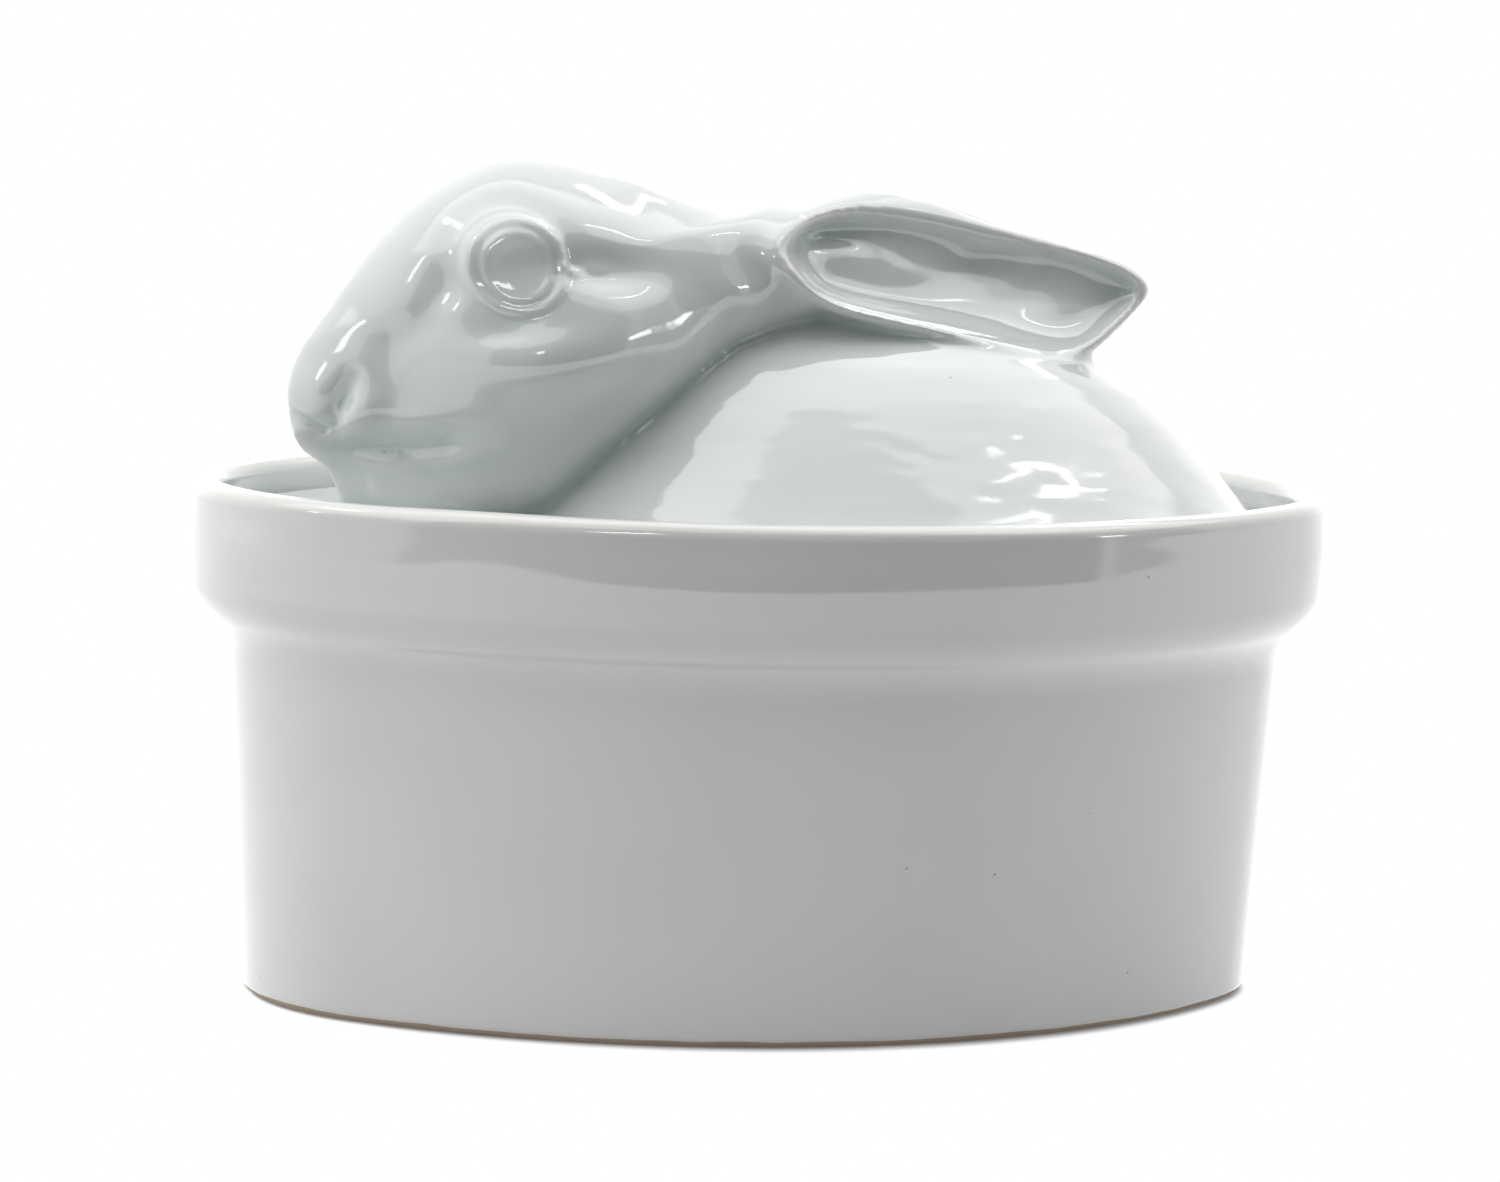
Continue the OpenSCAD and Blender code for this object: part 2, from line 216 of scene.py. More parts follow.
def oval_rays(count):
    """Arc centres, outward directions and radii at points spaced evenly along the rim."""
    turn = math.atan2(TRIANGLE[1], TRIANGLE[0])
    edges = [turn, math.pi - turn, math.pi + turn, 2 * math.pi - turn]
    limits = [0, *edges, 2 * math.pi]
    angles, lengths = [], [0.0]
    for number, (low, high) in enumerate(zip(limits, limits[1:])):
        radius = SIDE_RADIUS if number % 2 else END_RADIUS
        angles.append(np.linspace(low, high, ARC_POINTS))
        lengths.append(lengths[-1] + radius * (high - low))
    along = np.concatenate([np.linspace(a, b, ARC_POINTS) for a, b in zip(lengths, lengths[1:])])
    angle = np.interp(np.arange(count) / count * lengths[-1], along, np.concatenate(angles))
    kind = np.searchsorted(edges, angle) % 4
    centres = np.array([[END_CENTRE, 0], [0, -SIDE_CENTRE], [-END_CENTRE, 0], [0, SIDE_CENTRE]])[kind]
    radii = np.where(kind % 2 == 1, SIDE_RADIUS, END_RADIUS)
    return centres, np.stack([np.cos(angle), np.sin(angle)], 1), radii


def sweep_oval(section, count):
    """Points of a section of (inset, height) pairs, swept round the oval: section by count by 3."""
    centres, outward, radii = oval_rays(count)
    section = np.asarray(section, float)
    plan = centres[None] + outward[None] * (radii[None, :, None] - section[:, :1, None])
    heights = np.broadcast_to(section[:, 1][:, None, None], plan.shape[:2] + (1,))
    return np.concatenate([plan, heights], 2)


def arc(centre, radius, start, end, steps):
    """Points of an arc between two angles in degrees."""
    angle = np.radians(np.linspace(start, end, steps + 1))
    return np.stack([centre[0] + radius * np.cos(angle), centre[1] + radius * np.sin(angle)], 1)


def soft_step(low, high, turn, bend, steps):
    """The step from wall to band: midway between two arcs and a plain wave."""
    arcs = np.concatenate([
        arc((low[0] + bend, low[1]), bend, 180, 180 - turn, steps),
        arc((high[0] - bend, high[1]), bend, -turn, 0, steps)[1:],
    ])
    z = np.linspace(low[1], high[1], steps)
    share = (z - low[1]) / (high[1] - low[1])
    plain = low[0] + (high[0] - low[0]) * (1 - np.cos(np.pi * share)) / 2
    inset = ARC_SHARE * np.interp(z, arcs[:, 1], arcs[:, 0]) + (1 - ARC_SHARE) * plain
    return np.stack([inset, z], 1)


def spaced(points, step):
    """The same open line with no gap wider than a step."""
    points = np.asarray(points, float)
    out = [points[:1]]
    for a, b in zip(points, points[1:]):
        parts = max(1, math.ceil(np.linalg.norm(b - a) / step))
        out.append(a + (b - a) * (np.arange(1, parts + 1) / parts)[:, None])
    return np.concatenate(out)


def dish_section():
    """The wall cut through, from under the bottom, up and over the lip, and down to the bottom inside."""
    r = LIP / 2
    turn = 2 * math.degrees(math.atan2(STEP_IN, STEP_DROP))
    bend = STEP_DROP / 2 / math.sin(math.radians(turn))
    step_low = (-STEP_IN, SHOULDER - STEP_DROP)
    ring_in = FOOT_IN + FOOT_WIDTH
    foot_ring = [(-ring_in - 2, UNDER_Z), (-ring_in - 0.4, 0.15), (-ring_in, 0), (-FOOT_IN, 0)]
    ledge_in = LEDGE_IN + LEDGE_ROUND
    corner_x, corner_z = INNER_CORNER
    inner_wall = [
        (-LEDGE_IN, LEDGE_Z - LEDGE_ROUND),
        (-INNER_WALL_IN, SHOULDER - STEP_DROP),
        (INNER_ROUND - corner_x, corner_z),
    ]
    return np.concatenate([
        spaced([(-UNDER_IN, UNDER_Z), *foot_ring], UNDER_GAP),
        arc((-FOOT_IN, FOOT_ROUND), FOOT_ROUND, -90, 0, 12)[1:],
        spaced([(-STEP_IN - WALL_LEAN, FOOT_ROUND), step_low], FINE_GAP)[1:],
        soft_step(step_low, (0, SHOULDER), turn, bend, 36)[1:],
        spaced([(0, SHOULDER), (0, RIM_TOP - r)], FINE_GAP)[1:],
        arc((-r, RIM_TOP - r), r, 0, 180, 28)[1:],
        spaced([(-LIP, RIM_TOP - r), (-LIP, LEDGE_Z + LEDGE_ROUND)], FINE_GAP)[1:],
        arc((-LIP - LEDGE_ROUND, LEDGE_Z + LEDGE_ROUND), LEDGE_ROUND, 0, -90, 8)[1:],
        spaced([(-LIP - LEDGE_ROUND, LEDGE_Z), (-ledge_in, LEDGE_Z)], FINE_GAP)[1:],
        arc((-ledge_in, LEDGE_Z - LEDGE_ROUND), LEDGE_ROUND, 90, 0, 8)[1:],
        spaced(inner_wall, INNER_GAP)[1:],
        arc((-corner_x, corner_z), INNER_ROUND, 0, -90, 14)[1:],
        [(-UNDER_IN, corner_z - INNER_ROUND)],
    ]) * [-1, 1]


def tube_faces(rows, count):
    """Quads between the rows of a grid that closes round."""
    row, col = np.meshgrid(np.arange(rows - 1), np.arange(count), indexing="ij")
    a = row * count + col
    b = row * count + (col + 1) % count
    return np.stack([a, b, b + count, a + count], 2).reshape(-1, 4)


# The rabbit, drawn from the side in millimetres: how far behind the nose, and how high over the flange

NOSE_X = -80.0

HEAD_OUTLINE = [
    (0.2, 20.5), (2, 26), (6, 32), (10, 38), (14.5, 44.5), (21.5, 51.8), (31.5, 57),
    (42, 57.4), (52, 55.6), (62, 52.4), (72, 50.4), (79, 49.6), (81.5, 45), (83, 40.5), (86.5, 36),
    (86, 31), (78.5, 25.5), (68, 18.5), (57, 9.5), (48, -1), (38, -13), (20, -13), (11, -1),
    (7, 6.5), (2.8, 10), (0.6, 14.5),
]
EAR_OUTLINE = [
    (73.4, 43.5), (77, 48), (85.6, 51.9), (95, 53.1), (105, 52.1), (113.5, 49.8), (121.5, 47.5),
    (130, 45.2), (134.8, 43.8), (140.6, 41.4), (144, 38), (141.8, 34.6), (136.6, 30.2), (131.6, 26.8),
    (126, 25.8), (119, 26.5), (110, 28.1), (100, 30), (91, 31.9), (84, 33.8), (78.5, 37),
]
EYE = np.array([31.6, 41.3])

# Masses of the head: place, radii, tilt, half width
MASSES = [
    ((34, 40), (26, 22), 0, 22),
    ((43, 22), (31, 22), 0, 28),
    ((17, 30), (24, 13), 52, 13),
    ((13, 17), (17, 13), 20, 13.5),
    ((72, 38), (34, 17), 15, 19.5),
    ((30, 3), (24, 18), 0, 20),
    ((60, 41), (32, 19), -6, 16.5),
]
# Dabs on the head: place, radii, tilt, height
HEAD_DABS = [
    ((44, 41), (8, 2.8), -6, -1.3),
    ((20, 34), (6.5, 3.2), 50, -1.8),
    ((30, 31.5), (8, 2.8), 8, -1.5),
    ((36, 26.5), (13, 5.5), 8, 1.4),
    ((12.5, 15.5), (8, 4), 10, 2.2),
    ((7, 18.4), (3.8, 2.2), 58, -1.7),
    ((3.6, 19), (2.6, 4), 20, 1.2),
    ((10, 11), (9, 1.2), -6, -1),
    ((23, 13.5), (3, 4), -30, -1),
    ((56, 24), (4, 9), -35, 1),
]
# Swell of the eyeball and groove round the lid: radius, width, height
EYE_BALL = (0, 7.5, 0.3)
EYE_GROOVE = (9.6, 2.4, -0.1)
# The groove is deepest under the brow: its direction in degrees, its depth and how soon it ends
BROW = (128, 1.6, 1.5)
# Fine carving of the face: strokes with their width and height, where a groove is below zero
FACE_STROKES = [
    ([(8.4, 22.6), (7.7, 20.2), (6.9, 17.2), (6.3, 14.8)], 1.5, -0.8),
    ([(11, 19), (9.8, 16.8), (8.4, 14.6)], 2.1, 0.4),
    ([(-0.5, 16.9), (1.2, 15.8), (2.8, 14.7), (4.9, 13.3)], 0.6, -0.6),
    ([(4.9, 13.3), (7, 12.4), (10, 12), (14, 12), (18.5, 12.3), (21.8, 12.9)], 2, -0.5),
    ([(1.6, 13.2), (3, 11.2), (7, 9.8), (15, 9.3), (23, 10.4), (31, 13.6)], 1.6, 0.4),
    ([(24.9, 44.5), (24.2, 40.6), (23.9, 36.6), (22, 34)], 1.7, 0.4),
    ([(38.4, 41.4), (41.4, 40.3)], 0.8, 0.3),
    ([(27.5, 5.2), (36, 8), (46, 14.5), (53, 22)], 2.4, 0.45),
]
FACE_DABS = [
    ((16.6, 16.6), (8.2, 3.4), 4, 0.8),
    ((44.7, 41.1), (3.4, 1.2), -3, 0.5),
    ((47, 40.4), (8, 2.6), -8, -0.5),
    ((3, 20), (2.6, 3.6), 20, 0.45),
    ((42, 28), (15, 6), 4, 0.9),
    ((45, 18), (15, 4.5), 24, -1.3),
    ((60, 40), (9, 5), -8, 0.6),
    ((19.8, 38.6), (3.2, 4.2), -12, -0.9),
]
# The flat of the iris, and the fine rings round it: half lengths across and up, width, height
IRIS = (4.6, -0.42)
EYE_RINGS = [
    (5.1, 5.0, 0.65, 0.16),
    (6.1, 5.9, 0.5, -0.08),
    (7.2, 6.9, 0.85, 0.34),
    (8.8, 8.4, 0.9, -0.1),
]
# How the eye leans: slopes across and up, within a radius and a soft edge
EYE_TILT, EYE_TILT_END = (0.02, 0.08), (7.9, 1.6)
# The folds in the ear: the raised floor, and the bulge above its wavy edge
EAR_FLOOR = [
    (74.5, 41.5), (77.5, 39.6), (83, 38.2), (89.2, 37.1), (95, 36.2), (100.8, 35.6), (107, 35.4),
    (112.6, 35.9), (117.5, 37), (120.8, 38.8), (122.9, 41.6), (122.2, 45), (118, 50), (100, 56), (80, 54),
]
EAR_BULGE = [
    (75, 42.2), (79, 40.7), (84, 40.5), (87.5, 41.2), (91, 42), (94, 43.1), (97, 43), (100, 43.9),
    (103.2, 42.8), (106, 42.4), (109.5, 42.2), (112, 43.3), (116, 44.6), (118, 50), (100, 56), (80, 54),
]
# Depth of each step round the pad, and the softness of its edges
EAR_STEP, EAR_FLOOR_EDGE, EAR_BULGE_EDGE = 0.55, 2.2, 2.0
# The steps end so far outside the ear's outline, over such a width
EAR_STEP_END = (3.4, 2.4)
EAR_ROOT = (80, 90)
EAR_MIDDLE = np.array([107, 40.5])
EAR_HALF = (36, 12)
EAR_TILT = -7
EAR_HOLLOW = ((97, 43), (24, 9.5), -6)
EAR_PAD = ((95, 42.5), (17, 4.5), -5, 3)
EAR_DEPTH = 8
# Half width of the crest between the ears, and of the lower rims at the root and the tip
EAR_CREST, EAR_SPREAD, EAR_TAPER = 3.8, (20, 6), (76, 143)
# The upper and lower edge of the ear: a point, and the drop for each millimetre behind it
EAR_UPPER, EAR_LOWER = (85, 54, 0.17), (84, 34.5, 0.2)
# Section of the ear's rim: inset, share of the rim's half width, share of the way down to the floor
EAR_RIM = [
    (0, 0, 0), (0.2, 0.5, 0), (0.9, 0.85, 0), (1.9, 1, 0),
    (2.9, 1, 0.1), (3.8, 1, 0.45), (4.8, 1, 0.8), (6, 1, 0.97),
]
# The floor is least deep outside the hollow and at the upper edge, and full from a share of the way down
EAR_SHALLOW, EAR_TOP, EAR_TOP_END = 0.3, 0.15, 0.45
# Least half width of the head
LEAST_SIDE = 2
# How the head rounds off toward its outline: power, what it gains behind the eye, and that direction in degrees
ROUNDING = (2.3, 1.3, -15)
COVER_WALL = 5.0
# Ripples left by the tool on the rabbit's back: share of the height, size of the hills, seed
BACK_RIPPLES = [(0.5, (14, 9, 6), 1), (0.26, (8.5, 5, 2.8), 2), (0.17, (6, 3.4, 1.5), 3)]
BODY = {"middle": 95, "front": 60, "back": 68, "half_width": 50, "height": 33.5}
# Powers of the dome's section: at its ends, how much less at its sides, and how flat its foot starts
BODY_FULL, BODY_LESS, BODY_FOOT = 3, 0.8, 1.14


def reach(p, place, radii, tilt):
    """How far points lie from a place, in its own radii."""
    c, s = math.cos(math.radians(tilt)), math.sin(math.radians(tilt))
    d = p - np.asarray(place, float)
    return np.hypot((d[..., 0] * c + d[..., 1] * s) / radii[0], (d[..., 1] * c - d[..., 0] * s) / radii[1])


def dab(p, form):
    """Height of one dab of clay."""
    return form[3] * np.exp(-reach(p, *form[:3]) ** 2)


def ridge(r, middle, width, height):
    """Height of a round ridge at a radius."""
    return height * np.exp(-(((r - middle) / width) ** 2))


def smooth_loop(points, steps):
    """A closed smooth curve through a loop of points."""
    p = np.asarray(points, float)
    before, after, beyond = np.roll(p, 1, 0), np.roll(p, -1, 0), np.roll(p, -2, 0)
    t = (np.arange(steps) / steps)[None, :, None]
    a, b = p[:, None], after[:, None]
    m1, m2 = (after - before)[:, None] / 2, (beyond - p)[:, None] / 2
    curve = (2 * t**3 - 3 * t**2 + 1) * a + (t**3 - 2 * t**2 + t) * m1
    curve = curve + (3 * t**2 - 2 * t**3) * b + (t**3 - t**2) * m2
    return curve.reshape(-1, 2)


def breadth(p):
    """Half width that the head's masses give together."""
    total = sum(m[3] ** 4 * np.clip(1 - reach(p, *m[:3]) ** 2, 0, None) ** 2 for m in MASSES)
    return total**0.25


def stroke(p, line, width, height):
    """A groove or ridge along a line."""
    line = np.asarray(line, float)
    least = np.full(len(p), np.inf)
    for a, b in zip(line, line[1:]):
        t = np.clip(((p - a) @ (b - a)) / ((b - a) @ (b - a)), 0, 1)
        least = np.minimum(least, ((p - a - t[:, None] * (b - a)) ** 2).sum(1))
    return height * np.exp(-least / width**2)


def depth_inside(p, loop):
    """How far points lie inside a closed line, below zero outside it."""
    loop = smooth_loop(loop, 4)
    least, inside = np.full(len(p), np.inf), np.zeros(len(p), bool)
    for a, b in zip(loop, np.roll(loop, -1, 0)):
        t = np.clip(((p - a) @ (b - a)) / max((b - a) @ (b - a), 1e-9), 0, 1)
        least = np.minimum(least, ((p - a - t[:, None] * (b - a)) ** 2).sum(1))
        crosses = (a[1] > p[:, 1]) != (b[1] > p[:, 1])
        cut = a[0] + (p[:, 1] - a[1]) * (b[0] - a[0]) / ((b[1] - a[1]) or 1e-9)
        inside ^= crosses & (p[:, 0] < cut)
    return np.where(inside, 1, -1) * np.sqrt(least)


def part_way(value, start, end):
    """Share of the way from a start to an end, kept between 0 and 1."""
    return np.clip((value - start) / (end - start), 0, 1)


def eased(t):
    """A share of the way that starts and ends softly."""
    return t * t * (3 - 2 * t)


def soft_edge(depth, width):
    """1 inside an edge and 0 outside it."""
    return eased(np.clip(depth / width / 2 + 0.5, 0, 1))


def face_detail(p):
    """Heights of the fine carving at points of the side view."""
    total = sum(stroke(p, *form) for form in FACE_STROKES) + sum(dab(p, form) for form in FACE_DABS)
    d = p - EYE
    r = np.hypot(d[:, 0], d[:, 1])
    total = total + ridge(r, 0, *IRIS)
    for across, up, width, height in EYE_RINGS:
        stretch = np.hypot(up * d[:, 0], across * d[:, 1]) / np.maximum(r, TINY)
        total = total + ridge(r, across * up / np.maximum(stretch, TINY), width, height)
    radius, edge = EYE_TILT_END
    return total + (d @ np.array(EYE_TILT)) * soft_edge(radius - r, edge)


def ear_detail(p):
    """Depth of the two steps below the pad in the ear."""
    beyond, edge = EAR_STEP_END
    within = soft_edge(depth_inside(ear_inset(p, -beyond), EAR_OUTLINE), edge)
    on_floor = soft_edge(depth_inside(p, EAR_FLOOR), EAR_FLOOR_EDGE)
    on_bulge = soft_edge(depth_inside(p, EAR_BULGE), EAR_BULGE_EDGE)
    return -EAR_STEP * within * (2 - on_floor - on_bulge)


def eye_angle(p):
    """Direction from the middle of the eye, in radians."""
    return np.arctan2(p[..., 1] - EYE[1], p[..., 0] - EYE[0])


def eye_form(p):
    """The eyeball's swell and the groove round the lid."""
    r = np.hypot(p[..., 0] - EYE[0], p[..., 1] - EYE[1])
    angle, depth, narrow = BROW
    brow = -depth * ((1 + np.cos(eye_angle(p) - math.radians(angle))) / 2) ** narrow
    middle, width, height = EYE_GROOVE
    return ridge(r, *EYE_BALL) + ridge(r, middle, width, height + brow)


def rounding(p, share):
    """How the head rounds off toward its outline: fuller toward the cheek behind the eye."""
    power, gain, direction = ROUNDING
    back = np.clip(np.cos(eye_angle(p) - math.radians(direction)), 0, None)
    return np.sqrt(np.clip(1 - share ** (power + gain * back**2), 0, None))


def head_side(p, share):
    """Half width of the head at points of the side view, at their share of the way out."""
    forms = eye_form(p) + sum(dab(p, d) for d in HEAD_DABS)
    return rounding(p, share) * np.maximum(LEAST_SIDE, breadth(p) + forms)


def height_on(line, x):
    """Height of a sloping line at a place."""
    start, height, drop = line
    return height - drop * (x - start)


def ear_share(p):
    """Share of the way from the ear's upper edge to its lower one."""
    return part_way(p[..., 1], height_on(EAR_UPPER, p[..., 0]), height_on(EAR_LOWER, p[..., 0]))


def ear_widening(x):
    """How much wider than the crest the lower rims are."""
    root, tip = EAR_SPREAD
    return root - (root - tip) * part_way(x, *EAR_TAPER) ** 3 - EAR_CREST


def ear_rim(p):
    """Half width at the ear's rim."""
    return EAR_CREST + ear_widening(p[..., 0]) * np.sin(np.pi / 2 * ear_share(p))


def ear_floor(p):
    """Half width at the floor of the ear, with its hollow and its pad."""
    chord = EAR_CREST + ear_widening(p[..., 0]) * ear_share(p)
    deep = EAR_SHALLOW + (1 - EAR_SHALLOW) * np.exp(-reach(p, *EAR_HOLLOW) ** 4)
    below_top = EAR_TOP + (1 - EAR_TOP) * eased(part_way(ear_share(p), 0, EAR_TOP_END))
    return np.maximum(LEAST_SIDE + 0.2, chord - EAR_DEPTH * deep * below_top + dab(p, EAR_PAD))


def placed(p, side):
    """From the drawing to the place on the cover, in millimetres."""
    return np.stack([NOSE_X + p[..., 0], side, FLANGE_Z + p[..., 1]], -1)


def two_sided(pole, rings):
    """A closed mesh with two like sides, from rings that run from the side's middle to the outline."""
    flip = np.array([1, -1, 1])
    rings = np.asarray(rings)
    count = rings.shape[1]
    layers = np.concatenate([rings, rings[-2::-1] * flip])
    points = np.concatenate([layers.reshape(-1, 3), [pole], [pole * flip]])
    ring = np.arange(count)
    after = (ring + 1) % count
    start, last = len(points) - 2, len(points) - 1
    base = (len(layers) - 1) * count
    fans = np.concatenate([
        np.stack([np.full(count, start), after, ring], 1),
        np.stack([np.full(count, last), base + ring, base + after], 1),
    ])
    return points, tube_faces(len(layers), count)[:, ::-1], fans


def head_mesh(inner=0.0):
    """The head and neck, or with a wall the hollow inside them."""
    outline = smooth_loop(HEAD_OUTLINE, 10)
    if inner:
        d = np.roll(outline, -1, 0) - np.roll(outline, 1, 0)
        inward = np.stack([d[:, 1], -d[:, 0]], 1) / np.hypot(d[:, 0], d[:, 1])[:, None]
        in_body = (d[:, 0] < 0) & (d[:, 1] < 0)
        outline = outline + np.where(in_body, 0, inner)[:, None] * inward
        outline[:, 0] = np.minimum(outline[:, 0], EAR_OUTLINE[0][0] - inner)
    shares = np.sin(np.linspace(0, np.pi / 2, 90))[1:] ** 1.15
    rings = []
    for share in shares:
        p = EYE + (outline - EYE) * share
        if inner:
            side = rounding(p, share) * np.maximum(LEAST_SIDE, breadth(p) - inner)
        else:
            side = head_side(p, share)
        rings.append(placed(p, side))
    middle = np.maximum(LEAST_SIDE, breadth(EYE) - inner) if inner else head_side(EYE, 0.0)
    return two_sided(placed(EYE, middle), rings)


def ear_inset(outline, by):
    """Points of the ear's outline drawn in toward its middle."""
    c, s = math.cos(math.radians(EAR_TILT)), math.sin(math.radians(EAR_TILT))
    d = outline - EAR_MIDDLE
    u = (d[:, 0] * c + d[:, 1] * s) * (1 - by / EAR_HALF[0])
    v = (d[:, 1] * c - d[:, 0] * s) * (1 - by / EAR_HALF[1])
    return EAR_MIDDLE + np.stack([u * c - v * s, u * s + v * c], 1)


def ears_mesh():
    """Both ears, which meet in the crest."""
    outline = smooth_loop(EAR_OUTLINE, 12)
    floor_edge = ear_inset(outline, EAR_RIM[-1][0])
    rings = []
    for share in np.linspace(0.04, 0.96, 30):
        p = EAR_MIDDLE + (floor_edge - EAR_MIDDLE) * share
        rings.append(placed(p, ear_floor(p)))
    knots = np.array(EAR_RIM)[::-1]
    for t in np.linspace(0, len(knots) - 1, 36):
        by, full, down = (np.interp(t, np.arange(len(knots)), knots[:, k]) for k in range(3))
        p = ear_inset(outline, by)
        rings.append(placed(p, full * (ear_rim(p) * (1 - down) + ear_floor(p) * down)))
    return two_sided(placed(EAR_MIDDLE, ear_floor(EAR_MIDDLE)), rings)


def body_mesh(inset=0.0, low=-3.4):
    """The dome of the body, or with an inset the hollow inside it."""
    steps, sides = 60, 240
    t = -2 * np.pi * np.arange(sides) / sides
    half = np.where(np.cos(t) > 0, BODY["back"], BODY["front"]) - inset
    full = BODY_FULL - BODY_LESS * np.sin(t) ** 2
    rings = []
    for e in np.linspace(0, np.pi / 2, steps + 1)[:-1]:
        height = (BODY["height"] - inset) * (1 - np.cos(e) ** full) ** BODY_FOOT
        x = NOSE_X + BODY["middle"] + half * np.cos(e) * np.cos(t)
        y = (BODY["half_width"] - inset) * np.cos(e) * np.sin(t)
        rings.append(np.stack([x, y, FLANGE_Z + height], 1))
    foot = rings[0].copy()
    foot[:, 2] = FLANGE_Z + low
    rings.insert(0, foot)
    top = np.array([NOSE_X + BODY["middle"], 0, FLANGE_Z + BODY["height"] - inset])
    under = np.array([NOSE_X + BODY["middle"], 0, FLANGE_Z + low])
    points = np.concatenate([np.concatenate(rings), [top], [under]])
    ring = np.arange(sides)
    after = (ring + 1) % sides
    base = (len(rings) - 1) * sides
    fans = np.concatenate([
        np.stack([base + ring, base + after, np.full(sides, len(points) - 2)], 1),
        np.stack([after, ring, np.full(sides, len(points) - 1)], 1),
    ])
    return points, tube_faces(len(rings), sides), fans


def flange_mesh():
    """The flat flange with its rounded edge."""
    edge = (FLANGE_Z - LEDGE_Z) / 2
    section = arc((-FLANGE_INSET - edge, LEDGE_Z + edge), edge, 90, -90, 16) * [-1, 1]
    points = sweep_oval(section, FLANGE_ROUND).reshape(-1, 3)
    points = np.concatenate([points, [[0, 0, FLANGE_Z], [0, 0, LEDGE_Z]]])
    ring = np.arange(FLANGE_ROUND)
    after = (ring + 1) % FLANGE_ROUND
    base = (len(section) - 1) * FLANGE_ROUND
    fans = np.concatenate([
        np.stack([ring, after, np.full(FLANGE_ROUND, len(points) - 2)], 1),
        np.stack([base + after, base + ring, np.full(FLANGE_ROUND, len(points) - 1)], 1),
    ])
    return points, tube_faces(len(section), FLANGE_ROUND)[:, ::-1], fans


# Tools for solids and meshes


def corner_weight(f, corner):
    """How much one corner of a cell counts at shares f of the way through the cell."""
    return np.prod([f[:, k] if corner[k] else 1 - f[:, k] for k in range(3)], axis=0)


class Block:
    """A block of space that holds how far each point lies outside a form."""

    # Grid steps that the distances reach, and empty steps round the box
    REACH = 8.0
    MARGIN = 4

    def __init__(self, low, high, step):
        self.step = step
        self.low = np.floor(np.asarray(low) / step).astype(int) - self.MARGIN
        self.shape = tuple(np.ceil(np.asarray(high) / step).astype(int) + self.MARGIN + 1 - self.low)
        self.transform = openvdb.createLinearTransform(voxelSize=step)

    def field(self, mesh):
        """How far each grid point lies outside a closed mesh."""
        points, quads, fans = mesh
        grid = openvdb.FloatGrid.createLevelSetFromPolygons(
            points.astype(np.float32),
            triangles=np.ascontiguousarray(fans, dtype=np.uint32),
            quads=np.ascontiguousarray(quads, dtype=np.uint32),
            transform=self.transform,
            halfWidth=self.REACH,
        )
        values = np.empty(self.shape, np.float32)
        grid.copyToArray(values, ijk=tuple(int(v) for v in self.low))
        return values

    def sample(self, values, points):
        """Values at points, from the eight grid points round each."""
        q = points / self.step - self.low
        base = np.clip(np.floor(q).astype(int), 0, np.array(self.shape) - 2)
        f = q - base
        total = 0
        for corner in np.ndindex(2, 2, 2):
            x, y, z = (base + corner).T
            total = total + corner_weight(f, corner) * values[x, y, z]
        return total

    def along(self):
        """Drawn distance from the nose at each grid point."""
        x = (self.low[0] + np.arange(self.shape[0])) * self.step
        return (x - NOSE_X).astype(np.float32)[:, None, None]

    def heights(self):
        """Height of each grid point."""
        z = (self.low[2] + np.arange(self.shape[2])) * self.step
        return z.astype(np.float32)[None, None, :]

    def skin(self, values):
        """Points and quads of the form's surface, in millimetres."""
        limit = self.REACH * self.step
        grid = openvdb.FloatGrid(limit)
        grid.transform = self.transform
        grid.gridClass = openvdb.GridClass.LEVEL_SET
        grid.copyFromArray(np.clip(values, -limit, limit), ijk=tuple(int(v) for v in self.low))
        points, quads = grid.convertToQuads()
        return points.astype(float), quads.astype(np.int64)


def melt(a, b, width):
    """The union of two forms with a rounded joint of about that width."""
    overlap = np.clip(width - np.abs(a - b), 0, None) / width
    return np.minimum(a, b) - overlap * overlap * width / 4


def carve(a, b, width):
    """One form without another, with rounded edges."""
    return -melt(-a, b, width)


def soften(values, passes):
    """A block blurred a little along each axis."""
    for _ in range(passes):
        for axis in range(3):
            before = np.roll(values, 1, axis)
            after = np.roll(values, -1, axis)
            values = (before + 2 * values + after) / 4
    return values


def edge_pairs(quads):
    """The two points of each edge, once."""
    pairs = np.concatenate([quads[:, [0, 1]], quads[:, [1, 2]], quads[:, [2, 3]], quads[:, [3, 0]]])
    return np.unique(np.sort(pairs, 1), axis=0)


def neighbour_mean(values, pairs, count):
    """Mean of each point's neighbours."""
    values = values.reshape(len(values), -1)
    total = np.zeros_like(values)
    for k in range(values.shape[1]):
        total[:, k] = np.bincount(pairs[:, 0], values[pairs[:, 1], k], len(values))
        total[:, k] += np.bincount(pairs[:, 1], values[pairs[:, 0], k], len(values))
    return (total / count[:, None]).squeeze()


# Each round draws the points in, and then lets them out by a little more
SMOOTHING = (0.5, -0.52)


def even_out(points, pairs, rounds):
    """Takes the grid's steps out of a mesh without shrinking it."""
    count = np.bincount(pairs.ravel(), minlength=len(points)).astype(float)
    for _ in range(rounds):
        for weight in SMOOTHING:
            points = points + weight * (neighbour_mean(points, pairs, count) - points)
    return points


def point_normals(points, quads):
    """Outward directions at the points of a mesh of quads."""
    a, b, c, d = (points[quads[:, k]] for k in range(4))
    face = np.cross(c - a, d - b)
    total = np.zeros_like(points)
    for k in range(4):
        for axis in range(3):
            total[:, axis] += np.bincount(quads[:, k], face[:, axis], len(points))
    return total / np.maximum(np.linalg.norm(total, axis=1), TINY**2)[:, None]


